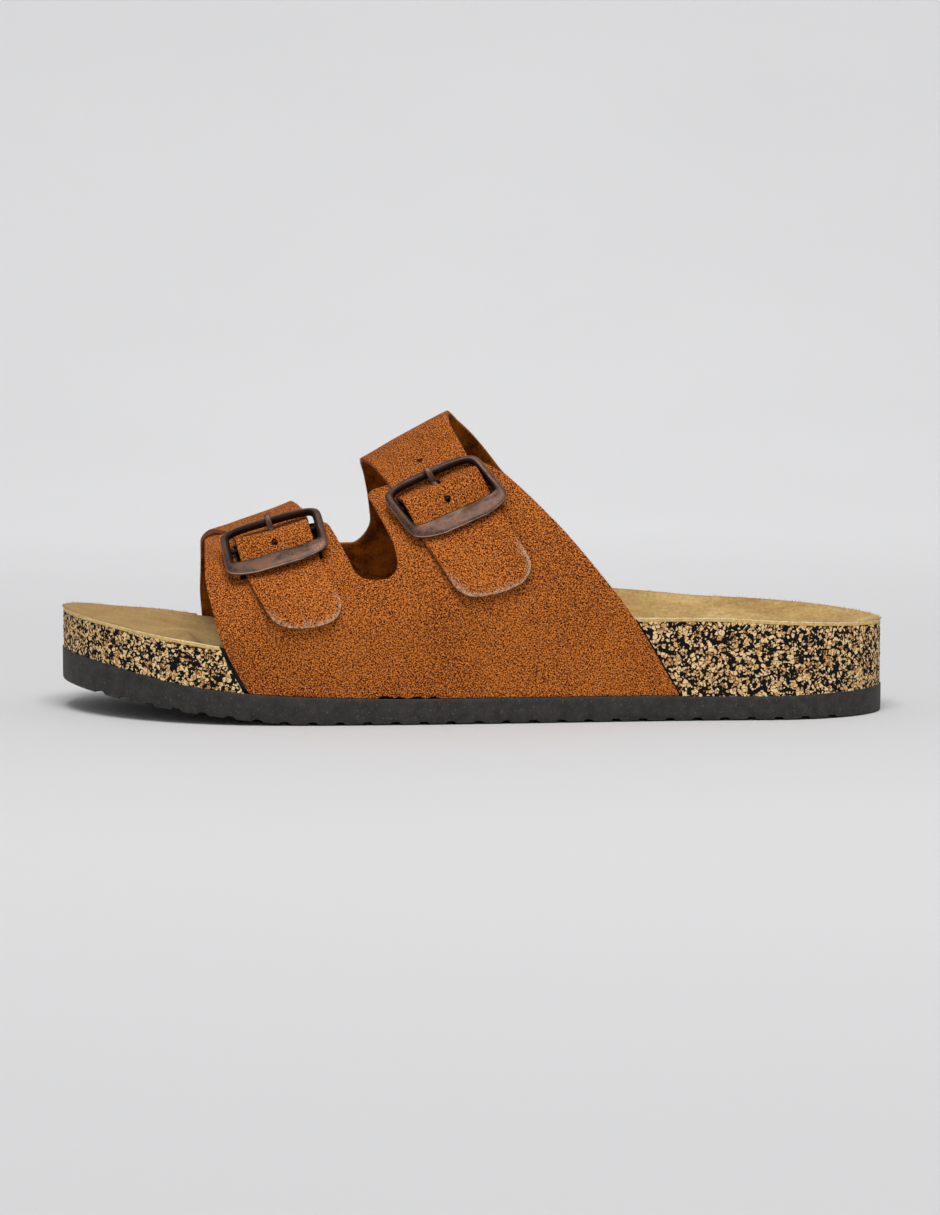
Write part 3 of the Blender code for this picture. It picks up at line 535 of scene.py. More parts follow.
def rounded_outline(knots: Sequence[Triple], steps: int = 10) -> Array:
    """A closed outline through knots of place, girth and radius, with an arc at each corner.

    Args:
        knots: The knots, in order.
        steps: Number of steps round each arc.

    Returns:
        The outline's points.
    """
    points = [np.array(knot[:2]) for knot in knots]
    outline = []
    for i, knot in enumerate(knots):
        outline += corner_arc(points[i - 1], points[i], points[(i + 1) % len(points)], knot[2], steps)
    return np.array(outline)


def even_loop(outline: Array, step: float) -> Array:
    """A closed outline as points at even steps round it, turning to the left.

    Args:
        outline: Corners of the outline.
        step: Distance between points.

    Returns:
        The points.
    """
    ring = np.vstack([outline, outline[:1]])
    run = np.concatenate([[0.0], np.cumsum(np.linalg.norm(np.diff(ring, axis=0), axis=1))])
    places = np.linspace(0.0, run[-1], round(run[-1] / step), endpoint=False)
    loop = np.stack([np.interp(places, run, ring[:, 0]), np.interp(places, run, ring[:, 1])], 1)
    ahead = np.roll(loop, -1, axis=0)
    area = (loop[:, 0] * ahead[:, 1] - loop[:, 1] * ahead[:, 0]).sum()
    return loop if area > 0 else loop[::-1]


def inside(points: Array, loop: Array) -> Array:
    """Which points lie inside a closed loop.

    Args:
        points: The points.
        loop: The loop's points.

    Returns:
        True for each point that lies inside.
    """
    ahead = np.roll(loop, -1, axis=0)
    x, y = points[:, :1], points[:, 1:]
    crosses = (loop[:, 1] > y) != (ahead[:, 1] > y)
    rise = np.where(ahead[:, 1] == loop[:, 1], 1.0, ahead[:, 1] - loop[:, 1])
    meets = loop[:, 0] + (y - loop[:, 1]) * (ahead[:, 0] - loop[:, 0]) / rise
    return (crosses & (x < meets)).sum(axis=1) % 2 == 1


def distance_to(points: Array, loop: Array) -> Array:
    """Distance from points to a closed loop.

    Args:
        points: The points.
        loop: The loop's points.

    Returns:
        The distance of each point.
    """
    nearest = np.full(len(points), np.inf)
    for start, end in zip(loop, np.roll(loop, -1, axis=0)):
        along = end - start
        f = np.clip(((points - start) @ along) / (along @ along), 0.0, 1.0)
        gap = points - start - f[:, None] * along
        nearest = np.minimum(nearest, np.hypot(gap[:, 0], gap[:, 1]))
    return nearest


class FlatSheet:
    """A flat pattern cut into small even triangles, with close rows of points along its cut edge."""

    # Distances of the rows from the edge, and how far apart points are kept as shares of a row or a step
    edge_rows = (0.13, 0.4)
    row_clearance = 0.9
    edge_step = 0.75
    filling_margin = 0.5
    hole_margin = 0.4
    merge_distance = 1e-4

    def __init__(self, outline: Array, holes: Sequence[Array] = (), step: float = 1.6) -> None:
        """Cuts the pattern up.

        Args:
            outline: Corners of the pattern, as places and girths.
            holes: Outlines of the holes punched in it.
            step: Distance between points.
        """
        loop = even_loop(outline, self.edge_step * step)
        ahead = np.roll(loop, -1, axis=0) - np.roll(loop, 1, axis=0)
        inwards = np.stack([-ahead[:, 1], ahead[:, 0]], 1) / np.linalg.norm(ahead, axis=1)[:, None]
        points = [loop, *holes]
        for row in self.edge_rows:
            close = loop + inwards * row
            points.append(close[distance_to(close, loop) > self.row_clearance * row])
        margin = self.edge_rows[-1] + self.filling_margin * step
        points.append(self.filling(loop, holes, step, margin))
        edges = []
        for ring in (loop, *holes):
            first = edges[-1][0] + 1 if edges else 0
            edges += [(first + i, first + (i + 1) % len(ring)) for i in range(len(ring))]
        corners = [Vector(point) for point in np.vstack(points)]
        cut = delaunay_2d_cdt(corners, edges, [], 0, self.merge_distance)
        self.points = np.array([tuple(point) for point in cut[0]])
        middles = self.points[np.array(cut[2])].mean(axis=1)
        keep = inside(middles, loop)
        for hole in holes:
            keep &= ~inside(middles, hole)
        self.triangles = [tuple(face) for face, kept in zip(cut[2], keep) if kept]
        self.edge_distance = distance_to(self.points, loop)
        for hole in holes:
            self.edge_distance = np.minimum(self.edge_distance, distance_to(self.points, hole))

    def filling(self, loop: Array, holes: Sequence[Array], step: float, margin: float) -> Array:
        """Points in a grid of even triangles inside a loop, clear of its edge and of holes.

        Args:
            loop: The sheet's edge.
            holes: Its holes' edges.
            step: Distance between points.
            margin: Least distance from the edge.

        Returns:
            The points.
        """
        low, high = loop.min(axis=0), loop.max(axis=0)
        rows = np.arange(low[1], high[1], step * math.sqrt(0.75))
        grid = []
        for i, y in enumerate(rows):
            x = np.arange(low[0] + (i % 2) * step / 2, high[0], step)
            grid.append(np.stack([x, np.full_like(x, y)], 1))
        grid = np.vstack(grid)
        grid = grid[inside(grid, loop)]
        grid = grid[distance_to(grid, loop) > margin]
        for hole in holes:
            grid = grid[~inside(grid, hole)]
            grid = grid[distance_to(grid, hole) > self.hole_margin * step]
        return grid

    def rim(self) -> list[tuple[int, int]]:
        """Edges of the sheet that only one triangle has, each in that triangle's direction."""
        edges = {(face[i], face[(i + 1) % 3]) for face in self.triangles for i in range(3)}
        return sorted(edge for edge in edges if edge[::-1] not in edges)


@dataclass
class Pattern:
    """Flat pattern of the upper: outlines of its panels and straps, and the straps' own axes."""

    last: Last
    tip_narrower: float = 0.6
    tip_slant: float = 0.11
    tip_corner: float = 9.0
    tip_crown: float = 2.5
    tip_root: float = 10.0
    tip_end_round: float = 30.0
    strap_bend: float = 50.0
    buckle_half_height: float = 13.7
    foot_drop: float = 0.25
    foot_steps: int = 24
    bite_steps: int = 9
    recess_front_gap: float = 1.6
    recess_rear_gap: float = 0.45
    recess_below: float = 4.0
    lift: SmoothCurve = field(default_factory=lambda: table_curves(STRAP_LIFTS, "up")["lift"])
    axes: dict[str, tuple[Array, Array, Array]] = field(init=False)

    def __post_init__(self) -> None:
        """Finds each strap's axes."""
        self.axes = {strap.name: self.strap_axes(strap) for strap in STRAPS}

    def flat_knot(self, knot: Knot) -> Triple:
        """A knot as its place, girth and corner radius in the flat pattern.

        Args:
            knot: The knot.

        Returns:
            Place, girth and radius.
        """
        if knot.z is None:
            girth = self.last.half_girth(knot.x, Side.LATERAL)[0]
        elif knot.side == Side.LATERAL:
            girth = self.last.girth_at(knot.x, knot.z, Side.LATERAL)
        else:
            girth = self.last.whole_girth(knot.x)[0] - self.last.girth_at(knot.x, knot.z, Side.MEDIAL)
        return knot.x, girth, knot.radius

    def strap_axes(self, strap: Strap) -> tuple[Array, Array, Array]:
        """A buckle's middle in the flat pattern, and square steps along its bars and up its strap.

        Args:
            strap: The strap.

        Returns:
            The middle, the step along and the step up, as places and girths.
        """
        girth = self.last.girth_at(strap.buckle_x, strap.buckle_z, Side.LATERAL)
        middle = np.array([strap.buckle_x, girth])
        along = np.array([math.cos(strap.slope), math.sin(strap.slope)])
        up = np.array([-along[1], along[0]])
        here, ahead, above = self.last.surface(*np.stack([middle, middle + along, middle + up], 1))
        shear = (ahead - here) @ (above - here) / ((above - here) @ (above - here))
        return middle, along - shear * up, up

    def strap_point(self, strap: Strap, along: float, up: float) -> Array:
        """Place and girth of a strap's point, along its buckle's bars and up from the buckle's middle."""
        middle, along_step, up_step = self.axes[strap.name]
        return middle + along * along_step + up * up_step

    def strap_frame(self, strap: Strap, flat: Array) -> tuple[Array, Array]:
        """Distances along a buckle's bars and up its strap of points in the flat pattern.

        Args:
            strap: The strap.
            flat: Places and girths of the points.

        Returns:
            The distances along and up.
        """
        middle, along_step, up_step = self.axes[strap.name]
        along, up = np.linalg.solve(np.stack([along_step, up_step], 1), (flat - middle).T)
        return along, up

    def foot_line(self, first: float, last: float, side: Side, below: float) -> list[tuple]:
        """Knots of a panel's lower edge from one place to another, on the outsole's top or below it.

        Args:
            first: Place that it starts at.
            last: Place that it ends at.
            side: The side of the foot.
            below: How far it lies below the outsole's top.

        Returns:
            Place, girth and corner radius of each knot.
        """
        if side == Side.LATERAL:
            return [(first, -below, 0.0), (last, -below, 0.0)]
        places = np.linspace(first, last, self.foot_steps)
        return [(x, self.last.whole_girth(x)[0] + below, 0.0) for x in places]

    def bitten_foot(self) -> list[tuple]:
        """Knots of the outer panel's lower edge, from heel to toe, with its small bites."""
        front_x, rear_x = LATERAL_FOOT_X
        knots = [(rear_x, -self.foot_drop, 0.0)]
        for bite in reversed(PANEL_BITES):
            for turn in np.linspace(0.0, math.pi, self.bite_steps):
                x = bite.x + bite.half_width * math.cos(turn)
                knots.append((x, bite.depth * math.sin(turn) - self.foot_drop, 0.0))
        knots.append((front_x, -self.foot_drop, 0.0))
        return knots

    def lateral_outline(self) -> Array:
        """Flat pattern of the outer panel with its two tabs."""
        edge = [self.flat_knot(knot) for knot in LATERAL_FRONT + LATERAL_SLOT + LATERAL_REAR]
        return rounded_outline(edge + self.bitten_foot())

    def strap_knots(self, strap: Strap) -> list[tuple]:
        """Corners of a strap from the ridge's front, round its tip and back to the ridge's rear.

        Args:
            strap: The strap.

        Returns:
            Place, girth and corner radius of each knot.
        """
        tip_half = strap.half - self.tip_narrower
        free = strap.tip - self.tip_root
        tip = (
            (-tip_half, self.tip_crown - free, self.tip_corner),
            (0.0, -free, self.tip_end_round),
            (tip_half, self.tip_crown - free, self.tip_corner),
        )
        top, root, bend = self.buckle_half_height, -self.tip_root, self.strap_bend
        corners = [(-strap.half, top, bend), (-strap.half, root, bend)]
        for along, up, radius in tip:
            corners.append((along - strap.lean * up, up + root - self.tip_slant * along, radius))
        corners += [(strap.half, root, bend), (strap.half, top, bend)]
        knots = [self.flat_knot(Knot(strap.ridge_front, None, Side.LATERAL, bend))]
        knots += [(*self.strap_point(strap, along, up), radius) for along, up, radius in corners]
        knots.append(self.flat_knot(Knot(strap.ridge_rear, None, Side.LATERAL, bend)))
        return knots

    def medial_outline(self) -> Array:
        """Flat pattern of the inner panel with its two straps."""
        front_x, rear_x = MEDIAL_FOOT_X
        front, rear = STRAPS
        knots = [self.flat_knot(knot) for knot in MEDIAL_FRONT]
        knots += self.strap_knots(front)
        knots += [self.flat_knot(knot) for knot in MEDIAL_SLOT]
        knots += self.strap_knots(rear)
        knots += [self.flat_knot(knot) for knot in MEDIAL_REAR]
        knots += self.foot_line(rear_x, front_x, Side.MEDIAL, self.foot_drop)
        return rounded_outline(knots)

    def run_on(self, knot: Knot, foot_x: float, side: Side) -> float:
        """Place of a panel's end edge when it is run on straight from its lowest knot to below its foot.

        Args:
            knot: The lowest knot.
            foot_x: The edge's place at the foot.
            side: The side of the foot.

        Returns:
            The place.
        """
        x, girth, _ = self.flat_knot(knot)
        height = girth if side == Side.LATERAL else self.last.whole_girth(x)[0] - girth
        return foot_x + (foot_x - x) * self.recess_below / height

    def recess_outline(self, side: Side) -> Array:
        """Flat pattern of the recess that a panel is set into: its ends moved out, and run on below it.

        Args:
            side: The side of the foot.

        Returns:
            Places and girths of the outline.
        """
        outer = side == Side.LATERAL
        front, rear = (LATERAL_FRONT, LATERAL_REAR) if outer else (MEDIAL_FRONT, MEDIAL_REAR)
        foot = LATERAL_FOOT_X if outer else MEDIAL_FOOT_X
        front_foot = self.run_on(front[0], foot[0], side) - self.recess_front_gap
        rear_foot = self.run_on(rear[-1], foot[1], side) + self.recess_rear_gap
        knots = []
        for edge, move in ((front, -self.recess_front_gap), (rear, self.recess_rear_gap)):
            for x, girth, radius in map(self.flat_knot, edge):
                knots.append((x + move, girth, radius))
        knots += self.foot_line(rear_foot, front_foot, side, self.recess_below)
        return rounded_outline(knots)

    def slot_outline(self, strap: Strap, low: float, high: float, radius: float, steps: int = 7) -> Array:
        """Outline of a hole in a strap: round, or long where it runs from a low to a high end.

        Args:
            strap: The strap.
            low: How far up the strap its low end is centred.
            high: How far up the strap its high end is centred.
            radius: Radius of its ends.
            steps: Number of points round each end.

        Returns:
            Places and girths of the outline.
        """
        ends = [(high, turn) for turn in np.linspace(0.0, math.pi, steps)]
        ends += [(low, turn) for turn in np.linspace(math.pi, 2 * math.pi, steps)]
        if low == high:
            ends = [(low, turn) for turn in np.linspace(0.0, 2 * math.pi, 2 * steps, endpoint=False)]
        corners = [(radius * math.cos(turn), end + radius * math.sin(turn)) for end, turn in ends]
        return np.array([self.strap_point(strap, along, up) for along, up in corners])

    def strap_lift(self, flat: Array) -> Array:
        """Offset of the straps' inner face from the last, at points of the flat pattern.

        Args:
            flat: Places and girths of the points.

        Returns:
            The offset at each point.
        """
        nearest = np.full(len(flat), np.inf)
        lift = np.zeros(len(flat))
        for strap in STRAPS:
            along, up = self.strap_frame(strap, flat)
            nearer = np.abs(along) < nearest
            lift = np.where(nearer, self.last.thick + self.lift(up), lift)
            nearest = np.where(nearer, np.abs(along), nearest)
        return lift


def creased(flat: Array, creases: Sequence[Crease]) -> Array:
    """How far creases move each point of a flat pattern outwards.

    Args:
        flat: Places and girths of the points.
        creases: The creases.

    Returns:
        The move of each point.
    """
    moved = np.zeros(len(flat))
    for crease in creases:
        start, end = np.array(crease.start), np.array(crease.end)
        along = end - start
        f = np.clip(((flat - start) @ along) / (along @ along), 0.0, 1.0)
        gap = np.linalg.norm(flat - start - f[:, None] * along, axis=1)
        moved -= crease.depth * np.exp(-((gap / crease.width) ** 2))
    return moved


@dataclass
class Workshop:
    """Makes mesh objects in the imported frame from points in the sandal's own millimetres."""

    offset: Array

    @classmethod
    def beside(cls, sole: SoleShape, proud: float, sections: int = 400) -> "Workshop":
        """A workshop that puts the sole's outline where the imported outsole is.

        Args:
            sole: The sole's shape.
            proud: How far the outsole stands out round the sole.
            sections: Number of places that the outline is measured at.

        Returns:
            The workshop.
        """
        x = sole.places(sections)
        left = sole.edge(x, Side.LATERAL, proud).min()
        right = sole.edge(x, Side.MEDIAL, proud).max()
        low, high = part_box("outsole")
        packed_middle = (low[1] + high[1]) / 2 / METRES
        return cls(np.array([0.0, packed_middle - (left + right) / 2, 0.0]))

    def piece(
        self,
        name: str,
        points: Array,
        faces: Sequence[Sequence[int]],
        finishes: Sequence[bpy.types.Material],
        face_finish: Sequence[int] | None = None,
        sharp: float = 40.0,
        **attributes: Array,
    ) -> bpy.types.Object:
        """A mesh object with its faces outwards.

        Args:
            name: Name of the piece.
            points: Its points in millimetres.
            faces: Its faces.
            finishes: Its materials.
            face_finish: Which material each face has, if not the first.
            sharp: Angle in degrees above which an edge stays sharp.
            **attributes: A value for each point, by attribute name.

        Returns:
            The object, at the origin.
        """
        mesh = bpy.data.meshes.new(name)
        mesh.from_pydata(((np.asarray(points, float) + self.offset) * METRES).tolist(), [], faces)
        for finish in finishes:
            mesh.materials.append(finish)
        if face_finish is not None:
            mesh.polygons.foreach_set("material_index", face_finish)
        for key, values in attributes.items():
            layer = mesh.attributes.new(key, "FLOAT", "POINT")
            layer.data.foreach_set("value", np.asarray(values, np.float32))
        shape = bmesh.new()
        shape.from_mesh(mesh)
        bmesh.ops.recalc_face_normals(shape, faces=shape.faces)
        shape.to_mesh(mesh)
        shape.free()
        mesh.shade_smooth()
        mesh.set_sharp_from_angle(angle=math.radians(sharp))
        thing = bpy.data.objects.new(name, mesh)
        bpy.context.scene.collection.objects.link(thing)
        return thing

    def path(
        self, name: str, points: Array, edges: Sequence[tuple[int, int]], out: Array
    ) -> bpy.types.Object:
        """A path of bare edges.

        Args:
            name: Its name.
            points: Its points in millimetres.
            edges: Pairs of points that it runs between.
            out: A vector for each point, kept as the attribute out.

        Returns:
            The object, at the origin.
        """
        mesh = bpy.data.meshes.new(name)
        mesh.from_pydata(((np.asarray(points, float) + self.offset) * METRES).tolist(), edges, [])
        ways = np.asarray(out, np.float32).ravel()
        mesh.attributes.new("out", "FLOAT_VECTOR", "POINT").data.foreach_set("vector", ways)
        thing = bpy.data.objects.new(name, mesh)
        bpy.context.scene.collection.objects.link(thing)
        return thing

    @staticmethod
    def bake(thing: bpy.types.Object) -> None:
        """Turns an object's modifiers into a plain mesh.

        Args:
            thing: The object.
        """
        graph = bpy.context.evaluated_depsgraph_get()
        mesh = bpy.data.meshes.new_from_object(
            thing.evaluated_get(graph), preserve_all_data_layers=True, depsgraph=graph
        )
        plain = thing.data
        thing.modifiers.clear()
        thing.data = mesh
        bpy.data.meshes.remove(plain)

    def cut(self, thing: bpy.types.Object, cutters: Sequence[bpy.types.Object]) -> None:
        """Cuts shapes out of a piece; the cut faces take the cutters' material.

        Args:
            thing: The piece.
            cutters: Bodies of what is cut out.
        """
        for cutter in cutters:
            modifier = thing.modifiers.new(cutter.name, "BOOLEAN")
            modifier.operation = "DIFFERENCE"
            modifier.solver = "EXACT"
            modifier.material_mode = "TRANSFER"
            modifier.object = cutter
        self.bake(thing)


def ring_faces(count: int, size: int, closed: bool = False) -> list[list[int]]:
    """Faces through rings of points, capped at both ends unless the rings close in a loop.

    Args:
        count: Number of rings.
        size: Points in each ring.
        closed: Whether the last ring joins the first.

    Returns:
        The faces, ring by ring, and then the caps.
    """
    faces = []
    for i in range(count if closed else count - 1):
        here, there = i * size, (i + 1) % count * size
        for k in range(size):
            following = (k + 1) % size
            faces.append([here + k, here + following, there + following, there + k])
    if not closed:
        faces.append(list(range(size))[::-1])
        faces.append([(count - 1) * size + k for k in range(size)])
    return faces


def shell_faces(sheet: FlatSheet) -> tuple[list[tuple], list[int]]:
    """Faces of a wall over a flat sheet whose inner points come before its outer points.

    Args:
        sheet: The flat sheet.

    Returns:
        The faces, and for each 0 on the outer face, 1 on the inner face and 2 on the cut edge.
    """
    count = len(sheet.points)
    inner = [face[::-1] for face in sheet.triangles]
    outer = [tuple(i + count for i in face) for face in sheet.triangles]
    edge = [(a, b, b + count, a + count) for a, b in sheet.rim()]
    kinds = [1] * len(inner) + [0] * len(outer) + [2] * len(edge)
    return inner + outer + edge, kinds


@dataclass
class Blocks:
    """Blocks of points and faces that make up one mesh, with the values that its points carry."""

    points: list[Array] = field(default_factory=list)
    faces: list[tuple[int, ...]] = field(default_factory=list)
    kinds: list[int] = field(default_factory=list)
    values: dict[str, list[Array]] = field(default_factory=dict)

    def add(
        self,
        points: Array,
        faces: Sequence[Sequence[int]],
        kinds: Sequence[int] | None = None,
        **values: Array | float,
    ) -> None:
        """Adds a block.

        Args:
            points: Its points.
            faces: Its faces, counted from its own first point.
            kinds: Which material each face has, if not the first.
            **values: A value for each point, or one for all of them, by attribute name.
        """
        first = sum(len(block) for block in self.points)
        self.points.append(points)
        self.faces += [tuple(first + i for i in face) for face in faces]
        self.kinds += kinds or [0] * len(faces)
        for key, value in values.items():
            self.values.setdefault(key, []).append(np.broadcast_to(value, len(points)))

    def piece(
        self, workshop: Workshop, name: str, finishes: Sequence[bpy.types.Material]
    ) -> bpy.types.Object:
        """The mesh object that the blocks make up."""
        values = {key: np.concatenate(blocks) for key, blocks in self.values.items()}
        return workshop.piece(name, np.vstack(self.points), self.faces, finishes, self.kinds, **values)


def settle(thing: bpy.types.Object, slot: str, *nodes: str) -> None:
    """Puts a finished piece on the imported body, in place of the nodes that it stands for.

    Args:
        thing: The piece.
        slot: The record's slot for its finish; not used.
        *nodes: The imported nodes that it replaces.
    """
    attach(thing, "root")
    if nodes:
        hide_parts(*nodes)
    log.info("%s: %d faces", thing.name, len(thing.data.polygons))


def seen(red: float, green: float, blue: float) -> Colour:
    """A colour given as it is seen, from 0 to 255, in the light's own measure."""
    values = [value / 255 for value in (red, green, blue)]
    light = [value / 12.92 if value <= 0.04045 else ((value + 0.055) / 1.055) ** 2.4 for value in values]
    return (*light, 1.0)


class Clouds(NamedTuple):
    """A cloudy pattern: clouds per metre, levels of detail and their roughness, and distortion."""

    per_metre: float
    detail: float = 2.0
    rough: float = 0.5
    distortion: float = 0.0


class Relief(NamedTuple):
    """A bump that is drawn and not modelled: its height in millimetres and its strength."""

    height: float
    strength: float


class Graph:
    """A node tree, with short calls that add fed nodes."""

    def __init__(self, tree: bpy.types.NodeTree) -> None:
        """Takes the tree to add to."""
        self.tree = tree

    def node(self, kind: str, feeds: Feeds | None = None, **settings: object) -> bpy.types.Node:
        """Adds a node.

        Args:
            kind: The node's type.
            feeds: A value or another node's socket for each input.
            **settings: The node's own settings.

        Returns:
            The node.
        """
        node = self.tree.nodes.new(kind)
        for name, value in settings.items():
            setattr(node, name, value)
        for name, value in (feeds or {}).items():
            self.feed(node.inputs[name], value)
        return node

    def feed(self, socket: Socket, value: Feed) -> None:
        """Links a socket to an input, or sets its value.

        Args:
            socket: The input.
            value: A value, or another node's socket.
        """
        if isinstance(value, Socket):
            self.tree.links.new(value, socket)
        else:
            socket.default_value = value

    def math(self, operation: str, *values: Feed) -> Socket:
        """Result of a sum or other operation."""
        return self.node("ShaderNodeMath", dict(enumerate(values)), operation=operation).outputs[0]

    def vector(self, operation: str, *values: Feed) -> Socket:
        """Result of an operation on vectors."""
        return self.node("ShaderNodeVectorMath", dict(enumerate(values)), operation=operation).outputs[0]

    def scaled(self, vector: Socket, scale: Feed) -> Socket:
        """A vector made longer or shorter."""
        feeds = {0: vector, "Scale": scale}
        return self.node("ShaderNodeVectorMath", feeds, operation="SCALE").outputs[0]

    def blend(self, *parts: tuple[Socket, float]) -> Socket:
        """A sum of values, each times its share.

        Args:
            *parts: Each value and its share.

        Returns:
            The sum.
        """
        total = 0.0
        for value, share in parts:
            total = self.math("MULTIPLY_ADD", value, share, total)
        return total

    def remap(
        self, value: Feed, low: Feed, high: Feed, to_low: float = 0.0, to_high: float = 1.0
    ) -> Socket:
        """A value moved smoothly from one range to another."""
        feeds = {0: value, 1: low, 2: high, 3: to_low, 4: to_high}
        return self.node("ShaderNodeMapRange", feeds, interpolation_type="SMOOTHSTEP").outputs[0]

    def noise(self, place: Socket, clouds: Clouds, output: str = "Fac") -> Socket:
        """A cloudy pattern's value, or its colour.

        Args:
            place: Where it is read.
            clouds: The pattern.
            output: The output that is given.

        Returns:
            The output.
        """
        feeds = {"Vector": place, "Scale": clouds.per_metre, "Detail": clouds.detail}
        feeds |= {"Roughness": clouds.rough, "Distortion": clouds.distortion}
        return self.node("ShaderNodeTexNoise", feeds).outputs[output]

    def cells(self, place: Socket, scale: float, feature: str = "F1") -> bpy.types.Node:
        """A pattern of cells at a number of cells per metre."""
        return self.node("ShaderNodeTexVoronoi", {"Vector": place, "Scale": scale}, feature=feature)


class Surface(Graph):
    """The node tree of one material."""

    def __init__(self, name: str) -> None:
        """Starts a material that reads Object coordinates."""
        self.material = bpy.data.materials.new(name)
        self.material.use_nodes = True
        super().__init__(self.material.node_tree)
        self.shader = self.tree.nodes["Principled BSDF"]
        self.place = self.node("ShaderNodeTexCoord").outputs["Object"]

    def clouds(self, clouds: Clouds) -> Socket:
        """A cloudy pattern all over the piece."""
        return self.noise(self.place, clouds)

    def attribute(self, name: str) -> Socket:
        """A value that the piece's own points carry."""
        return self.node("ShaderNodeAttribute", attribute_name=name).outputs["Fac"]

    def ramp(self, value: Socket, *stops: tuple[float, Colour]) -> Socket:
        """A colour from a row of colours at values from 0 to 1.

        Args:
            value: The value.
            *stops: Each value that has a colour of its own, and that colour.

        Returns:
            The colour.
        """
        node = self.node("ShaderNodeValToRGB", {"Fac": value})
        row = node.color_ramp.elements
        while len(row) < len(stops):
            row.new(1.0)
        for element, (position, colour) in zip(row, stops):
            element.position = position
            element.color = colour
        return node.outputs["Color"]

    def mix(self, share: Feed, first: Feed, second: Feed) -> Socket:
        """Two colours mixed; the share is the second one's.

        Args:
            share: The second colour's share.
            first: A colour.
            second: Another colour.

        Returns:
            The mixed colour.
        """
        # The node's inputs 6 and 7 and its output 2 are the ones that hold colours.
        node = self.node("ShaderNodeMix", data_type="RGBA")
        for i, value in ((0, share), (6, first), (7, second)):
            self.feed(node.inputs[i], value)
        return node.outputs[2]

    def bump(self, pattern: Socket, relief: Relief, below: Socket | None = None) -> Socket:
        """A bumped normal, over another one if there is one below it.

        Args:
            pattern: The pattern that is raised.
            relief: Its height and strength.
            below: A normal below it.

        Returns:
            The normal.
        """
        feeds = {"Height": pattern, "Distance": relief.height * METRES, "Strength": relief.strength}
        if below is not None:
            feeds["Normal"] = below
        return self.node("ShaderNodeBump", feeds).outputs["Normal"]

    def dress(self, **sockets: Feed) -> bpy.types.Material:
        """Feeds the shader's sockets, named with underscores for spaces, and gives the material."""
        for name, value in sockets.items():
            self.feed(self.shader.inputs[name.replace("_", " ").title().replace("Ior", "IOR")], value)
        return self.material


class Growth(Graph):
    """A Geometry Nodes tree with named inputs for its sizes."""

    def __init__(self, name: str) -> None:
        """Starts a tree that takes and gives geometry."""
        super().__init__(bpy.data.node_groups.new(name, "GeometryNodeTree"))
        for way in ("INPUT", "OUTPUT"):
            self.tree.interface.new_socket("Geometry", in_out=way, socket_type="NodeSocketGeometry")
        self.enter = self.tree.nodes.new("NodeGroupInput")
        self.sizes: dict[str, float | int] = {}

    def size(self, name: str, value: float | int) -> Socket:
        """A named input with the value that it gets.

        Args:
            name: The input's name.
            value: Its value.

        Returns:
            The input, for nodes to use.
        """
        kind = "NodeSocketInt" if isinstance(value, int) else "NodeSocketFloat"
        self.tree.interface.new_socket(name, in_out="INPUT", socket_type=kind)
        self.sizes[name] = value
        return self.enter.outputs[name]

    def stored(self, name: str, kind: str = "FLOAT") -> Socket:
        """A value that the piece's own points carry."""
        return self.node("GeometryNodeInputNamedAttribute", {"Name": name}, data_type=kind).outputs[0]

    def grow(
        self,
        thing: bpy.types.Object,
        result: Socket,
        finish: bpy.types.Material,
        kept: bpy.types.Material | None = None,
    ) -> None:
        """Ends the tree, runs it on an object and keeps what it gives as a plain mesh.

        Args:
            thing: The object.
            result: The geometry that the tree has made.
            finish: The material of what it has made.
            kept: A material that faces keep if they have it already.
        """
        real = self.node("GeometryNodeRealizeInstances", {0: result}).outputs[0]
        feeds = {"Geometry": real, "Material": finish}
        if kept is not None:
            own = self.node("GeometryNodeMaterialSelection", {"Material": kept}).outputs[0]
            feeds["Selection"] = self.node("FunctionNodeBooleanMath", {0: own}, operation="NOT").outputs[0]
        dressed = self.node("GeometryNodeSetMaterial", feeds)
        leave = self.tree.nodes.new("NodeGroupOutput")
        self.feed(leave.inputs[0], dressed.outputs[0])
        modifier = thing.modifiers.new(self.tree.name, "NODES")
        modifier.node_group = self.tree
        for item in self.tree.interface.items_tree:
            if item.name in self.sizes:
                modifier[item.identifier] = self.sizes[item.name]
        Workshop.bake(thing)


@dataclass(frozen=True)
class RubberFinish:
    """Matte dark rubber with a faint mottle and fine pale specks."""

    dark: Colour = seen(34, 32, 29)
    pale: Colour = seen(54, 51, 47)
    speck: Colour = seen(104, 102, 98)
    speck_share: float = 0.55
    speck_range: Pair = (0.62, 0.76)
    mottle: Clouds = Clouds(260.0, 4.0, 0.65)
    dust: Clouds = Clouds(1500.0, 1.0)
    grain: Clouds = Clouds(1500.0, 3.0, 0.6)
    grain_relief: Relief = Relief(0.2, 0.25)
    roughness: float = 0.7

    def make(self) -> bpy.types.Material:
        """The material."""
        surface = Surface("outsole_rubber")
        mottle = surface.clouds(self.mottle)
        colour = surface.ramp(mottle, (0.35, self.dark), (0.65, self.pale))
        dust = surface.clouds(self.dust)
        specks = surface.remap(dust, *self.speck_range, 0.0, self.speck_share)
        colour = surface.mix(specks, colour, self.speck)
        normal = surface.bump(surface.clouds(self.grain), self.grain_relief)
        return surface.dress(base_color=colour, roughness=self.roughness, normal=normal)


class Granules(NamedTuple):
    """Sockets of the cork's granules: a chance value and a tone for each, and nearness to its edge."""

    chance: Socket
    tone: Socket
    edge: Socket


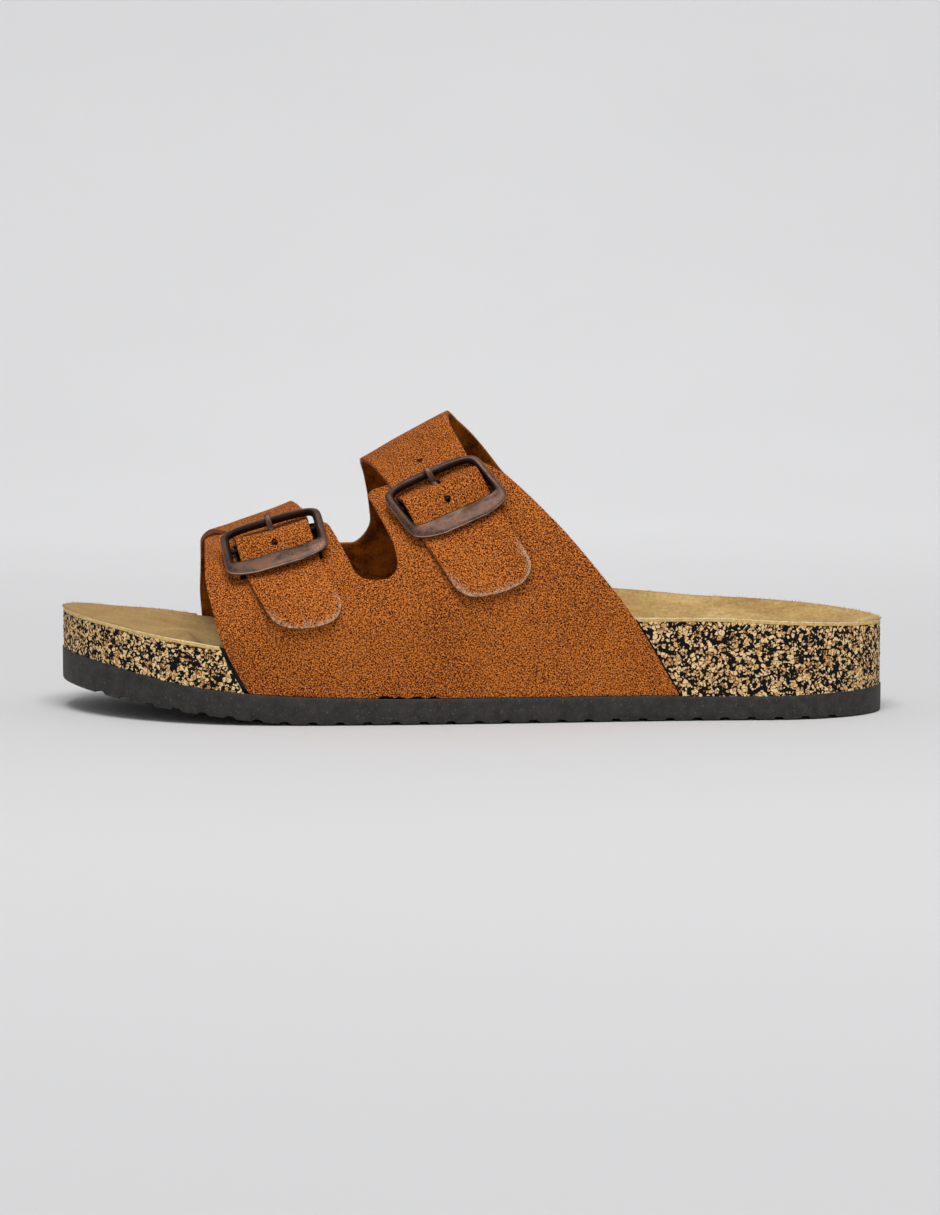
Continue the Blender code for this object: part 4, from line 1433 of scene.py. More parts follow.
@dataclass(frozen=True)
class CorkFinish:
    """Pressed cork granules in dark rubber crumb."""

    pale: Colour = seen(255, 219, 161)
    mid: Colour = seen(226, 174, 110)
    deep: Colour = seen(162, 102, 48)
    crumb: Colour = seen(7, 6, 9)
    recess: Colour = seen(22, 20, 20)
    recess_pale: Colour = seen(48, 45, 43)
    per_metre: float = 700.0
    small_per_metre: float = 1300.0
    waver: float = 0.8
    waver_clouds: float = 0.8
    cork_share: float = 0.63
    small_share: float = 0.36
    share_drift: float = 0.12
    margins: Pair = (0.04, 0.26)
    large_edge: float = 0.02
    small_edge: Pair = (0.06, 0.1)
    small_tone: float = 0.35
    deep_share: float = 0.22
    deep_range: Pair = (0.55, 0.75)
    patches: Clouds = Clouds(90.0)
    patch_range: Pair = (0.3, 0.7)
    spread: Clouds = Clouds(520.0)
    spread_range: Pair = (0.35, 0.7)
    fine: Clouds = Clouds(2200.0)
    fine_share: float = 0.4
    fine_relief: Relief = Relief(0.25, 0.5)
    glue: Clouds = Clouds(700.0, 3.0)
    glue_relief: Relief = Relief(0.2, 0.5)
    edge_reach: float = 0.25
    edge_rise: Pair = (-0.6, 0.2)
    tone_rise: float = 0.4
    roughness: float = 0.85
    glue_roughness: float = 0.5
    shine: float = 0.25

    def granules(self, graph: Graph, place: Socket, per_metre: float) -> Granules:
        """Adds the nodes of a layer of granules to a tree, the same in a material and in a relief.

        Args:
            graph: The tree.
            place: Where the layer is read.
            per_metre: Number of granules per metre.

        Returns:
            The granules' sockets.
        """
        drift = graph.noise(place, Clouds(per_metre * self.waver_clouds, 1.0), "Color")
        drift = graph.scaled(graph.vector("SUBTRACT", drift, (0.5, 0.5, 0.5)), self.waver / per_metre)
        moved = graph.vector("ADD", place, drift)
        cell = graph.cells(moved, per_metre)
        channels = graph.node("ShaderNodeSeparateXYZ", {0: cell.outputs["Color"]}).outputs
        edge = graph.cells(moved, per_metre, "DISTANCE_TO_EDGE").outputs["Distance"]
        return Granules(channels[0], channels[1], edge)

    def make(self) -> bpy.types.Material:
        """The cork's material: large granules and small bits in the crumb."""
        surface = Surface("midsole_cork")
        large = self.granules(surface, surface.place, self.per_metre)
        small = self.granules(surface, surface.place, self.small_per_metre)
        patches = surface.clouds(self.patches)
        drift = surface.remap(patches, *self.patch_range, -self.share_drift, self.share_drift)
        share = surface.math("ADD", drift, self.cork_share)
        spread = surface.clouds(self.spread)
        margin = surface.remap(spread, *self.spread_range, *self.margins)
        body = surface.remap(surface.math("SUBTRACT", large.edge, margin), 0.0, self.large_edge)
        body = surface.math("MULTIPLY", body, surface.math("LESS_THAN", large.chance, share))
        bits = surface.remap(small.edge, *self.small_edge)
        bits = surface.math("MULTIPLY", bits, surface.math("LESS_THAN", small.chance, self.small_share))
        cork = surface.math("MAXIMUM", body, bits)
        tone = surface.blend((small.tone, self.small_tone), (large.tone, 1 - self.small_tone))
        tan = surface.ramp(tone, (0.1, self.deep), (0.3, self.mid), (0.58, self.pale))
        fine = surface.clouds(self.fine)
        tan = surface.mix(surface.remap(fine, *self.deep_range, 0.0, self.deep_share), tan, self.deep)
        colour = surface.mix(cork, self.crumb, tan)
        height = surface.blend((fine, self.fine_share), (cork, 1 - self.fine_share))
        normal = surface.bump(height, self.fine_relief)
        return surface.dress(
            base_color=colour, roughness=self.roughness, normal=normal, specular_ior_level=self.shine
        )

    def make_recess(self) -> bpy.types.Material:
        """The glued dark floor of the recesses that the panels are set into."""
        surface = Surface("recess_glue")
        glue = surface.clouds(self.glue)
        colour = surface.ramp(glue, (0.3, self.recess), (0.8, self.recess_pale))
        normal = surface.bump(glue, self.glue_relief)
        return surface.dress(base_color=colour, roughness=self.glue_roughness, normal=normal)

    def relief(
        self, thing: bpy.types.Object, finish: bpy.types.Material, recess: bpy.types.Material, depth: float
    ) -> None:
        """Gives the cork's granules a real relief in its mesh.

        Args:
            thing: The cork midsole.
            finish: The cork's material.
            recess: The material of the recesses' floor.
            depth: Height of the relief in millimetres.
        """
        growth = Growth("cork_relief")
        size = growth.size("Relief", depth * METRES)
        place = growth.node("GeometryNodeInputPosition").outputs[0]
        layer = self.granules(growth, place, self.per_metre)
        edge = growth.remap(layer.edge, 0.0, self.edge_reach, *self.edge_rise)
        tone = growth.remap(layer.tone, 0.0, 1.0, -self.tone_rise, self.tone_rise)
        height = growth.math("ADD", edge, tone)
        normal = growth.node("GeometryNodeInputNormal").outputs[0]
        move = growth.scaled(normal, growth.math("MULTIPLY", height, size))
        skin = growth.stored("skin")
        feeds = {"Geometry": growth.enter.outputs[0], "Offset": growth.scaled(move, skin)}
        growth.grow(thing, growth.node("GeometryNodeSetPosition", feeds).outputs[0], finish, recess)


@dataclass(frozen=True)
class InsoleFinish:
    """Tan suede footbed cover with a soft brushed nap, and its cut edge."""

    deep: Colour = seen(166, 130, 74)
    mid: Colour = seen(194, 159, 98)
    pale: Colour = seen(218, 186, 124)
    gold: Colour = seen(242, 206, 128)
    gold_deep: Colour = seen(206, 164, 92)
    lip: Colour = seen(238, 232, 216)
    rim_brown: Colour = seen(138, 98, 52)
    rim_share: float = 0.7
    rim_range: Pair = (0.35, 0.55)
    # Painted shade that darkens the bed towards the toe: its colour, its share and where it runs.
    toe_brown: Colour = seen(150, 112, 54)
    toe_share: float = 0.45
    worn_toe: Pair = (-112.0, -64.0)
    brushed: Clouds = Clouds(42.0, 4.0, 0.6, 1.0)
    brushed_relief: Relief = Relief(1.2, 0.25)
    nap: Clouds = Clouds(800.0, 4.0, 0.65)
    nap_share: float = 0.4
    nap_relief: Relief = Relief(0.25, 0.35)
    fuzz: Clouds = Clouds(1100.0, 3.0, 0.7)
    fuzz_relief: Relief = Relief(0.2, 0.5)
    roughness: float = 0.92
    sheen: float = 0.05

    def make(self) -> bpy.types.Material:
        """The suede's material, with painted shade towards the toe and browner on the far rim."""
        surface = Surface("insole_suede")
        brushed = surface.clouds(self.brushed)
        nap = surface.clouds(self.nap)
        tone = surface.blend((nap, self.nap_share), (brushed, 1 - self.nap_share))
        colour = surface.ramp(tone, (0.38, self.deep), (0.5, self.mid), (0.62, self.pale))
        # Painted shade: the bed darkens towards the toe.
        along = surface.node("ShaderNodeSeparateXYZ", {0: surface.place}).outputs["X"]
        toe_end, toe_start = self.worn_toe
        painted_light_share = surface.remap(along, toe_end * METRES, toe_start * METRES, self.toe_share, 0.0)
        colour = surface.mix(painted_light_share, colour, self.toe_brown)
        frayed = surface.math("MULTIPLY", surface.attribute("rim"), surface.remap(nap, *self.rim_range))
        colour = surface.mix(surface.math("MULTIPLY", frayed, self.rim_share), colour, self.rim_brown)
        normal = surface.bump(nap, self.nap_relief, surface.bump(brushed, self.brushed_relief))
        return surface.dress(
            base_color=colour, roughness=self.roughness, normal=normal, sheen_weight=self.sheen
        )

    def make_edge(self) -> bpy.types.Material:
        """The cut edge below the suede."""
        return self.make_band("insole_edge", self.gold, self.gold_deep)

    def make_lip(self) -> bpy.types.Material:
        """The pale upper corner of the cut edge."""
        return self.make_band("insole_lip", self.lip, self.pale)

    def make_band(self, name: str, pale: Colour, deep: Colour) -> bpy.types.Material:
        """A band of the cut edge, mottled between two colours.

        Args:
            name: The material's name.
            pale: The paler colour.
            deep: The deeper colour.

        Returns:
            The material.
        """
        surface = Surface(name)
        fuzz = surface.clouds(self.fuzz)
        colour = surface.ramp(fuzz, (0.35, deep), (0.65, pale))
        normal = surface.bump(fuzz, self.fuzz_relief)
        return surface.dress(base_color=colour, roughness=self.roughness, normal=normal)


@dataclass(frozen=True)
class SuedeFinish:
    """Rust-brown fine-grained suede, its dark lining and its raw cut edge."""

    deep: Colour = seen(60, 14, 0)
    mid: Colour = seen(153, 75, 25)
    pale: Colour = seen(227, 135, 57)
    lining_deep: Colour = seen(82, 38, 4)
    lining_pale: Colour = seen(158, 90, 24)
    raw_deep: Colour = seen(128, 92, 66)
    raw_pale: Colour = seen(228, 208, 182)
    raw_brown: Colour = seen(150, 92, 48)
    # Painted shade, from the shade attribute: under the buckles, on the loops and at the punched holes.
    shade: Colour = seen(16, 10, 6)
    shade_range: Pair = (0.55, 0.85)
    grain: Clouds = Clouds(2250.0, 2.0, 0.6, 0.7)
    grain_turn: float = 0.6
    grain_share: float = 0.9
    grain_relief: Relief = Relief(0.35, 0.6)
    cloud: Clouds = Clouds(30.0, 3.0, 0.55)
    fray: Clouds = Clouds(900.0, 3.0, 0.7)
    fray_range: Pair = (0.35, 0.6)
    fray_share: float = 0.95
    lining_cloud: Clouds = Clouds(90.0, 4.0, 0.6, 1.2)
    lining_nap: Clouds = Clouds(1400.0, 3.0)
    lining_nap_share: float = 0.3
    lining_relief: Relief = Relief(0.2, 0.35)
    ripples_per_metre: float = 38.0
    ripple_distortion: float = 5.0
    ripple_detail_scale: float = 1.4
    ripple_relief: Relief = Relief(1.2, 0.5)
    raw_fuzz: Clouds = Clouds(1000.0, 4.0, 0.7)
    raw_relief: Relief = Relief(0.25, 0.6)
    raw_pale_from: float = 0.6
    roughness: float = 0.9
    shine: float = 0.15
    lining_shine: float = 0.1

    def make(self) -> bpy.types.Material:
        """The suede's outer face: a fine grain, frayed pale strap ends, and painted shade under the
        buckles, on the loops and at the punched holes.
        """
        surface = Surface("upper_suede")
        feeds = {0: surface.attribute("pattern_x"), 1: surface.attribute("pattern_girth")}
        flat = surface.node("ShaderNodeCombineXYZ", feeds).outputs[0]
        feeds = {"Vector": flat, "Angle": self.grain_turn}
        grain = surface.noise(surface.node("ShaderNodeVectorRotate", feeds).outputs[0], self.grain)
        cloud = surface.clouds(self.cloud)
        tone = surface.blend((grain, self.grain_share), (cloud, 1 - self.grain_share))
        colour = surface.ramp(tone, (0.44, self.deep), (0.5, self.mid), (0.56, self.pale))
        fray = surface.remap(surface.clouds(self.fray), *self.fray_range)
        frayed = surface.math("MULTIPLY", surface.attribute("rim"), fray)
        colour = surface.mix(surface.math("MULTIPLY", frayed, self.fray_share), colour, self.raw_pale)
        # Painted shade: the suede is darkened where the shade attribute is high.
        shaded = surface.remap(surface.attribute("shade"), *self.shade_range)
        colour = surface.mix(shaded, colour, self.shade)
        normal = surface.bump(grain, self.grain_relief)
        return surface.dress(
            base_color=colour, roughness=self.roughness, normal=normal, specular_ior_level=self.shine
        )

    def make_lining(self) -> bpy.types.Material:
        """The dark inner face, with faint ripples across it."""
        surface = Surface("upper_lining")
        cloud = surface.clouds(self.lining_cloud)
        feeds = {"Vector": surface.place, "Scale": self.ripples_per_metre, "Detail": 2.0}
        feeds |= {"Distortion": self.ripple_distortion, "Detail Scale": self.ripple_detail_scale}
        ripple = surface.node("ShaderNodeTexWave", feeds, bands_direction="X").outputs["Fac"]
        nap = surface.clouds(self.lining_nap)
        tone = surface.blend((nap, self.lining_nap_share), (cloud, 1 - self.lining_nap_share))
        colour = surface.ramp(tone, (0.4, self.lining_deep), (0.6, self.lining_pale))
        normal = surface.bump(nap, self.lining_relief, surface.bump(ripple, self.ripple_relief))
        return surface.dress(
            base_color=colour, roughness=self.roughness, normal=normal, specular_ior_level=self.lining_shine
        )

    def make_raw_edge(self) -> bpy.types.Material:
        """The raw cut edge, pale where the straps' free ends are frayed."""
        surface = Surface("upper_raw_edge")
        fuzz = surface.clouds(self.raw_fuzz)
        pale = surface.ramp(fuzz, (0.32, self.mid), (0.48, self.raw_deep), (0.66, self.raw_pale))
        brown = surface.ramp(fuzz, (0.35, self.mid), (0.65, self.raw_brown))
        frayed = surface.remap(surface.attribute("rim"), 0.0, self.raw_pale_from)
        colour = surface.mix(frayed, brown, pale)
        normal = surface.bump(fuzz, self.raw_relief)
        return surface.dress(base_color=colour, roughness=self.roughness, normal=normal)


@dataclass(frozen=True)
class CopperFinish:
    """Antique copper: dark brown-grey with warm copper, a pale worn outer edge that is partly a painted
    highlight, and painted shade on the inner walls, partly dark patina.
    """

    brown: Colour = seen(73, 47, 35)
    grey: Colour = seen(109, 89, 79)
    copper: Colour = seen(138, 88, 62)
    # A pale worn edge, partly real wear and partly a painted highlight.
    bright: Colour = seen(226, 204, 190)
    bright_share: float = 0.8
    bright_wear: Pair = (0.35, 0.95)
    bright_streaks: Pair = (0.3, 0.55)
    # Painted shade on the inner walls and the centre bar, partly dark patina.
    dark: Colour = seen(20, 15, 12)
    dark_share: float = 0.9
    dark_wear: Pair = (-0.1, -0.7)
    streaks: Clouds = Clouds(900.0, 2.0, 0.6)
    streak_stretch: float = 0.14
    cloud: Clouds = Clouds(160.0)
    flecks: Clouds = Clouds(1500.0, 3.0, 0.6)
    fleck_relief: Relief = Relief(0.12, 0.25)
    fleck_range: Pair = (0.3, 0.7)
    shares: Triple = (0.4, 0.35, 0.25)
    roughness: Pair = (0.42, 0.66)
    metallic: float = 0.85

    def make(self) -> bpy.types.Material:
        """The metal's material, streaked along its bars."""
        surface = Surface("buckle_metal")
        run = surface.math("MULTIPLY", surface.attribute("run"), self.streak_stretch)
        along = surface.node("ShaderNodeCombineXYZ", {0: run, 1: surface.attribute("girth")}).outputs[0]
        streak = surface.noise(along, self.streaks)
        cloud = surface.clouds(self.cloud)
        fleck = surface.clouds(self.flecks)
        tone = surface.blend(*zip((streak, fleck, cloud), self.shares))
        colour = surface.ramp(tone, (0.4, self.brown), (0.5, self.grey), (0.6, self.copper))
        # The point attribute paints the pale worn edge, partly a painted highlight, where it is high, and
        # painted shade where it is low.
        wear = surface.attribute("wear")
        streaked = surface.remap(streak, *self.bright_streaks)
        painted_light_share = surface.math("MULTIPLY", surface.remap(wear, *self.bright_wear), streaked)
        colour = surface.mix(surface.math("MULTIPLY", painted_light_share, self.bright_share), colour, self.bright)
        # Painted shade on the inner walls, partly dark patina.
        shaded = surface.remap(wear, *self.dark_wear, 0.0, self.dark_share)
        colour = surface.mix(shaded, colour, self.dark)
        rough = surface.remap(fleck, *self.fleck_range, *self.roughness)
        normal = surface.bump(fleck, self.fleck_relief)
        return surface.dress(base_color=colour, metallic=self.metallic, roughness=rough, normal=normal)


@dataclass
class Fibres:
    """Loose fibres along a cut edge, grown along a path by a node tree."""

    name: str
    spacing: float = 0.5
    length: float = 0.9
    thick: float = 0.045
    spread: float = 0.9
    shortest: float = 0.15
    seed: int = 7

    def build(
        self, workshop: Workshop, points: Array, edges: Sequence[tuple[int, int]], out: Array, slot: str,
        finish: bpy.types.Material,
    ) -> None:
        """Grows the fibres.

        Args:
            workshop: Where they are made.
            points: Points of the edge.
            edges: Pairs of points that the edge runs between.
            out: The way out from the edge at each point.
            slot: The record's slot, passed on to settle.
            finish: Their material.
        """
        thing = workshop.path(self.name, points, edges, out)
        growth = Growth(self.name)
        spacing = growth.size("Spacing", self.spacing * METRES)
        length = growth.size("Length", self.length * METRES)
        thick = growth.size("Thickness", self.thick * METRES)
        spread = growth.size("Spread", self.spread)
        shortest = growth.size("Shortest", self.shortest)
        seed = growth.size("Seed", self.seed)
        line = growth.node("GeometryNodeMeshToCurve", {0: growth.enter.outputs[0]}).outputs[0]
        roots = growth.node("GeometryNodeCurveToPoints", {"Curve": line, "Length": spacing}, mode="LENGTH")
        cone = {"Vertices": 3, "Radius Top": 0.0, "Radius Bottom": thick, "Depth": length}
        fibre = growth.node("GeometryNodeMeshCone", cone, fill_type="NONE").outputs["Mesh"]
        low, high = (-1.0, -1.0, -1.0), (1.0, 1.0, 1.0)
        feeds = {"Min": low, "Max": high, "Seed": seed}
        stray = growth.node("FunctionNodeRandomValue", feeds, data_type="FLOAT_VECTOR").outputs["Value"]
        way = growth.vector("ADD", growth.stored("out", "FLOAT_VECTOR"), growth.scaled(stray, spread))
        turn = growth.node("FunctionNodeAlignRotationToVector", {"Vector": way}, axis="Z").outputs[0]
        feeds = {2: shortest, 3: 1.0, "Seed": seed}
        scale = growth.node("FunctionNodeRandomValue", feeds, data_type="FLOAT").outputs[1]
        feeds = {"Points": roots.outputs["Points"], "Instance": fibre, "Rotation": turn, "Scale": scale}
        growth.grow(thing, growth.node("GeometryNodeInstanceOnPoints", feeds).outputs[0], finish)
        settle(thing, slot)


@dataclass
class Outsole:
    """The rubber outsole, whose wavy cross-cut tread is cut by a node tree."""

    sole: SoleShape
    proud: float = 0.4
    edge_round: float = 1.5
    corner_share: float = 0.3
    corner_treads: Pair = (0.1, 0.4)
    top_inset: float = 0.25
    sections: int = 560
    columns: int = 37
    tread_pitch: float = 9.0
    tread_first: float = 16.0
    tread_count: int = 28
    groove_top: float = 3.8
    groove_floor: float = 2.0
    groove_depth: float = 1.8
    waves: int = 3
    wave_size: float = 2.4
    side_share: float = 0.5
    full_depth_at: float = 9.0
    side_rows: tuple[float, ...] = (0.06, 0.25, 0.5, 0.75)

    def section(self, x: float) -> tuple[list, list, list]:
        """Points round one section, with how far the tread and which part of a wave each one has.

        Args:
            x: The section's place.

        Returns:
            Points, tread shares and positions across.
        """
        left = float(self.sole.edge(x, Side.LATERAL, self.proud))
        right = float(self.sole.edge(x, Side.MEDIAL, self.proud))
        top, floor = float(self.sole.outsole_top(x)), float(self.sole.floor(x))
        turn = min(self.edge_round, (right - left) / 4)
        low = floor + self.edge_round
        heights = [*(top + (low - top) * share for share in self.side_rows), low]
        corner = (self.corner_share * turn, floor + self.corner_share * self.edge_round)
        walls = [(self.top_inset, top), *((0.0, height) for height in heights), corner]
        treads = [*[0.0] * len(heights), *self.corner_treads]
        across = np.linspace(0.0, 1.0, self.columns)
        inwards = np.minimum(across, 1 - across) * (right - left)
        under_treads = np.clip(self.side_share + inwards / self.full_depth_at, 0.0, 1.0)
        under = [(x, left + turn + (right - left - 2 * turn) * a, floor) for a in across]
        points = [(x, left + inset, z) for inset, z in walls] + under
        points += [(x, right - inset, z) for inset, z in walls[::-1]]
        shares = [*treads, *under_treads, *treads[::-1]]
        spread = [0.0] * len(walls) + list(across) + [1.0] * len(walls)
        return points, shares, spread

    def cut_tread(self, thing: bpy.types.Object, finish: bpy.types.Material) -> None:
        """Cuts wavy grooves across the underside.

        Args:
            thing: The outsole.
            finish: Its rubber.
        """
        growth = Growth("wavy_tread")
        pitch = growth.size("Pitch", self.tread_pitch * METRES)
        depth = growth.size("Depth", self.groove_depth * METRES)
        top = growth.size("Groove Top", self.groove_top * METRES)
        floor = growth.size("Groove Floor", self.groove_floor * METRES)
        size = growth.size("Wave Size", self.wave_size * METRES)
        waves = growth.size("Waves", float(self.waves))
        first = growth.size("First Groove", (self.tread_first - self.sole.length / 2) * METRES)
        count = growth.size("Grooves", float(self.tread_count))
        place = growth.node("GeometryNodeInputPosition").outputs[0]
        x = growth.node("ShaderNodeSeparateXYZ", {0: place}).outputs[0]
        turn = growth.math("MULTIPLY", growth.stored("across"), growth.math("MULTIPLY", waves, 2 * math.pi))
        swing = growth.math("MULTIPLY_ADD", growth.math("COSINE", turn), -0.5, 0.5)
        shift = growth.math("MULTIPLY", swing, size)
        along = growth.math("SUBTRACT", growth.math("SUBTRACT", x, shift), first)
        number = growth.math("DIVIDE", along, pitch)
        whole = growth.math("ROUND", number)
        last = growth.math("SUBTRACT", count, 1.0)
        nearest = growth.math("MINIMUM", growth.math("MAXIMUM", whole, 0.0), last)
        gap = growth.math("ABSOLUTE", growth.math("SUBTRACT", number, nearest))
        gap = growth.math("MULTIPLY", gap, pitch)
        outer, inner = growth.math("MULTIPLY", top, 0.5), growth.math("MULTIPLY", floor, 0.5)
        share = growth.remap(gap, outer, inner)
        lift = growth.math("MULTIPLY", growth.math("MULTIPLY", share, depth), growth.stored("tread"))
        move = growth.node("ShaderNodeCombineXYZ", {2: lift}).outputs[0]
        feeds = {"Geometry": growth.enter.outputs[0], "Offset": move}
        growth.grow(thing, growth.node("GeometryNodeSetPosition", feeds).outputs[0], finish)

    def build(self, workshop: Workshop) -> None:
        """Builds and dresses the outsole.

        Args:
            workshop: Where it is made.
        """
        finish = RubberFinish().make()
        stretch = (self.sole.length + 2 * self.proud) / self.sole.length
        rings = [self.section(x * stretch) for x in self.sole.places(self.sections)]
        points = np.array([ring[0] for ring in rings])
        thing = workshop.piece(
            "rubber_outsole",
            points.reshape(-1, 3),
            ring_faces(*points.shape[:2]),
            [finish],
            tread=np.concatenate([ring[1] for ring in rings]),
            across=np.concatenate([ring[2] for ring in rings]),
        )
        self.cut_tread(thing, finish)
        settle(thing, "outsole_rubber", "outsole")


@dataclass
class Recesses:
    """The shallow recesses in the sole that the panels are set into."""

    pattern: Pattern
    gap: float = 0.15
    out: float = 6.0
    step: float = 4.0

    def cutters(self, workshop: Workshop, finish: bpy.types.Material) -> list[bpy.types.Object]:
        """Bodies to cut out of the sole's pieces.

        Args:
            workshop: Where they are made.
            finish: Material of the recesses' floor.

        Returns:
            A body for each side.
        """
        bodies = []
        for side in Side:
            sheet = FlatSheet(self.pattern.recess_outline(side), step=self.step)
            x, girth = sheet.points.T
            low = self.pattern.last.offset(x, girth, np.full(len(x), -self.gap))
            high = self.pattern.last.offset(x, girth, np.full(len(x), self.out))
            faces, _ = shell_faces(sheet)
            points = np.vstack([low, high])
            bodies.append(workshop.piece(f"recess_{side.name.lower()}", points, faces, [finish]))
        return bodies


@dataclass
class Midsole:
    """The cork midsole, dished on top, with real relief on its granules."""

    sole: SoleShape
    insole_thick: float = 1.2
    seam: float = 0.04
    sections: int = 520
    side_rows: int = 20
    columns: int = 15
    relief: float = 0.22

    def section(self, x: float) -> tuple[Array, Array]:
        """Points round one section, and which of them are on the bare side.

        Args:
            x: The section's place.

        Returns:
            The points and a skin share for each.
        """
        left, right = float(self.sole.edge(x, Side.LATERAL)), float(self.sole.edge(x, Side.MEDIAL))
        across = np.sin(np.linspace(-math.pi / 2, math.pi / 2, self.columns))
        y = (left + right) / 2 + (right - left) / 2 * across
        top = self.sole.bed(x, across) - self.insole_thick - self.seam
        base = float(self.sole.outsole_top(x)) + self.seam
        rows = np.linspace(0.0, 1.0, self.side_rows)[1:]
        bed = [(x, across_y, z) for across_y, z in zip(y, top)]
        down = [(x, right, top[-1] + (base - top[-1]) * row) for row in rows]
        rise = [(x, left, base + (top[0] - base) * row) for row in rows[:-1]]
        points = np.array([*bed, *down, (x, left, base), *rise])
        skin = np.ones(len(points))
        skin[1 : self.columns - 1] = 0.0
        return points, skin

    def build(self, workshop: Workshop, cutters: Sequence[bpy.types.Object], cork: CorkFinish) -> None:
        """Builds and dresses the midsole.

        Args:
            workshop: Where it is made.
            cutters: Bodies of the recesses.
            cork: Its finish.
        """
        finish = cork.make()
        rings = [self.section(x) for x in self.sole.places(self.sections)]
        points = np.array([ring[0] for ring in rings])
        faces = ring_faces(*points.shape[:2])
        skin = np.concatenate([ring[1] for ring in rings])
        thing = workshop.piece("cork_midsole", points.reshape(-1, 3), faces, [finish], skin=skin)
        workshop.cut(thing, cutters)
        cork.relief(thing, finish, cutters[0].data.materials[0], self.relief)
        settle(thing, "midsole_cork", "midsole")


class BedFold(NamedTuple):
    """A soft ridge across the footbed, or a hollow where its height is negative."""

    x: float
    y: float
    height: float
    length: float
    width: float
    turn: float


BED_FOLDS = (
    BedFold(-95.0, -10.0, 3.8, 4.0, 24.0, 10.0),
    BedFold(-86.0, -14.0, -1.6, 6.0, 26.0, 14.0),
    BedFold(-106.0, 10.0, -1.2, 6.0, 34.0, -8.0),
    BedFold(-119.0, 16.0, 0.9, 6.0, 26.0, -14.0),
    BedFold(82.0, 10.0, 1.1, 5.0, 18.0, 34.0),
    BedFold(104.0, 6.0, 1.4, 5.0, 16.0, -28.0),
    BedFold(66.0, 14.0, -0.8, 9.0, 18.0, 14.0),
    BedFold(114.0, 8.0, -1.0, 5.0, 12.0, -40.0),
    BedFold(92.0, 26.0, 0.8, 9.0, 9.0, 0.0),
)


@dataclass
class Insole:
    """The thin suede footbed cover, with a cut edge of two bands."""

    sole: SoleShape
    thick: float = 1.2
    lip: float = 0.3
    rim_hold: float = 0.75
    rim_power: int = 4
    covered: Pair = (-99.0, 62.0)
    sections: int = 300
    columns: int = 61
    rim_columns: int = 5
    under_step: int = 4
    fuzz_way: Pair = (0.8, 0.5)

    def folds(self, x: float, y: Array, across: Array) -> Array:
        """How far the soft folds lift the bed at points of a section, less at its rim.

        Args:
            x: The section's place.
            y: Y of its points.
            across: Their positions from -1 to 1 across the bed.

        Returns:
            The lift of each point.
        """
        lift = np.zeros_like(y)
        for fold in BED_FOLDS:
            cos, sin = math.cos(math.radians(fold.turn)), math.sin(math.radians(fold.turn))
            along = (x - fold.x) * cos + (y - fold.y) * sin
            over = (y - fold.y) * cos - (x - fold.x) * sin
            lift += fold.height * np.exp(-((along / fold.length) ** 2) - (over / fold.width) ** 2)
        return lift * (1 - self.rim_hold * np.abs(across) ** self.rim_power)

    def section(self, x: float) -> Array:
        """Points round one section: the bed, the edge's bands on the inner side, the underside and back.

        Args:
            x: The section's place.

        Returns:
            The points.
        """
        left, right = float(self.sole.edge(x, Side.LATERAL)), float(self.sole.edge(x, Side.MEDIAL))
        across = np.sin(np.linspace(-math.pi / 2, math.pi / 2, self.columns))
        reach = max((right - left) / 2 - self.lip, 0.0)
        y = (left + right) / 2 + reach * across
        z = self.sole.bed(x, across)
        lifted = z + self.folds(x, y, across)
        bed = [(x, a, b) for a, b in zip(y, lifted)]
        edge_z = (lifted[-1] - self.lip, z[-1] - self.thick)
        far_z = (z[0] - self.thick, lifted[0] - self.lip)
        step = -self.under_step
        under = [(x, a, b - self.thick) for a, b in zip(y[::step], z[::step])]
        near = [(x, left, height) for height in far_z]
        return np.array([*bed, *((x, right, height) for height in edge_z), *under, *near])

    def build(self, workshop: Workshop, cutters: Sequence[bpy.types.Object]) -> None:
        """Builds and dresses the insole.

        Args:
            workshop: Where it is made.
            cutters: Bodies of the recesses.
        """
        finish = InsoleFinish()
        points = np.array([self.section(x) for x in self.sole.places(self.sections)])
        count, size = points.shape[:2]
        faces = ring_faces(count, size)
        finishes = [finish.make(), finish.make_edge(), finish.make_lip()]
        edge, lip = 1, 2
        band = np.zeros(size, int)
        band[[self.columns, size - 2]] = edge
        band[[self.columns - 1, size - 1]] = lip
        kinds = [*np.tile(band, count - 1), edge, edge]
        far = np.zeros(size)
        far[self.columns - self.rim_columns : self.columns] = np.linspace(0.0, 1.0, self.rim_columns)
        rim = np.tile(far, count)
        thing = workshop.piece("suede_insole", points.reshape(-1, 3), faces, finishes, kinds, rim=rim)
        workshop.cut(thing, cutters)
        settle(thing, "insole_suede", "insole")
        fuzz = Fibres("footbed_fuzz", spacing=0.32, length=1.2, thick=0.12)
        fuzz.build(workshop, *self.bare_rim(), "insole_suede", finishes[0])

    def bare_rim(self) -> tuple[Array, list[tuple[int, int]], Array]:
        """The rim where no panel covers it.

        Returns:
            Points round the rim, edges between them and the way out at each.
        """
        x = self.sole.places(self.sections)
        over, up = self.fuzz_way
        loop, out = [], []
        for side, places in ((Side.LATERAL, x[::-1]), (Side.MEDIAL, x)):
            across = np.full(len(places), float(side))
            y = self.sole.edge(places, side) - side * self.lip
            loop.append(np.stack([places, y, self.sole.bed(places, across)], 1))
            out.append(np.stack([places / self.sole.length, over * across, np.full(len(places), up)], 1))
        points = np.vstack(loop)
        front, rear = self.covered
        bare = (points[:, 0] < front) | (points[:, 0] > rear)
        edges = [(i, i + 1) for i in range(len(points) - 1) if bare[i] and bare[i + 1]]
        return points, edges, np.vstack(out)


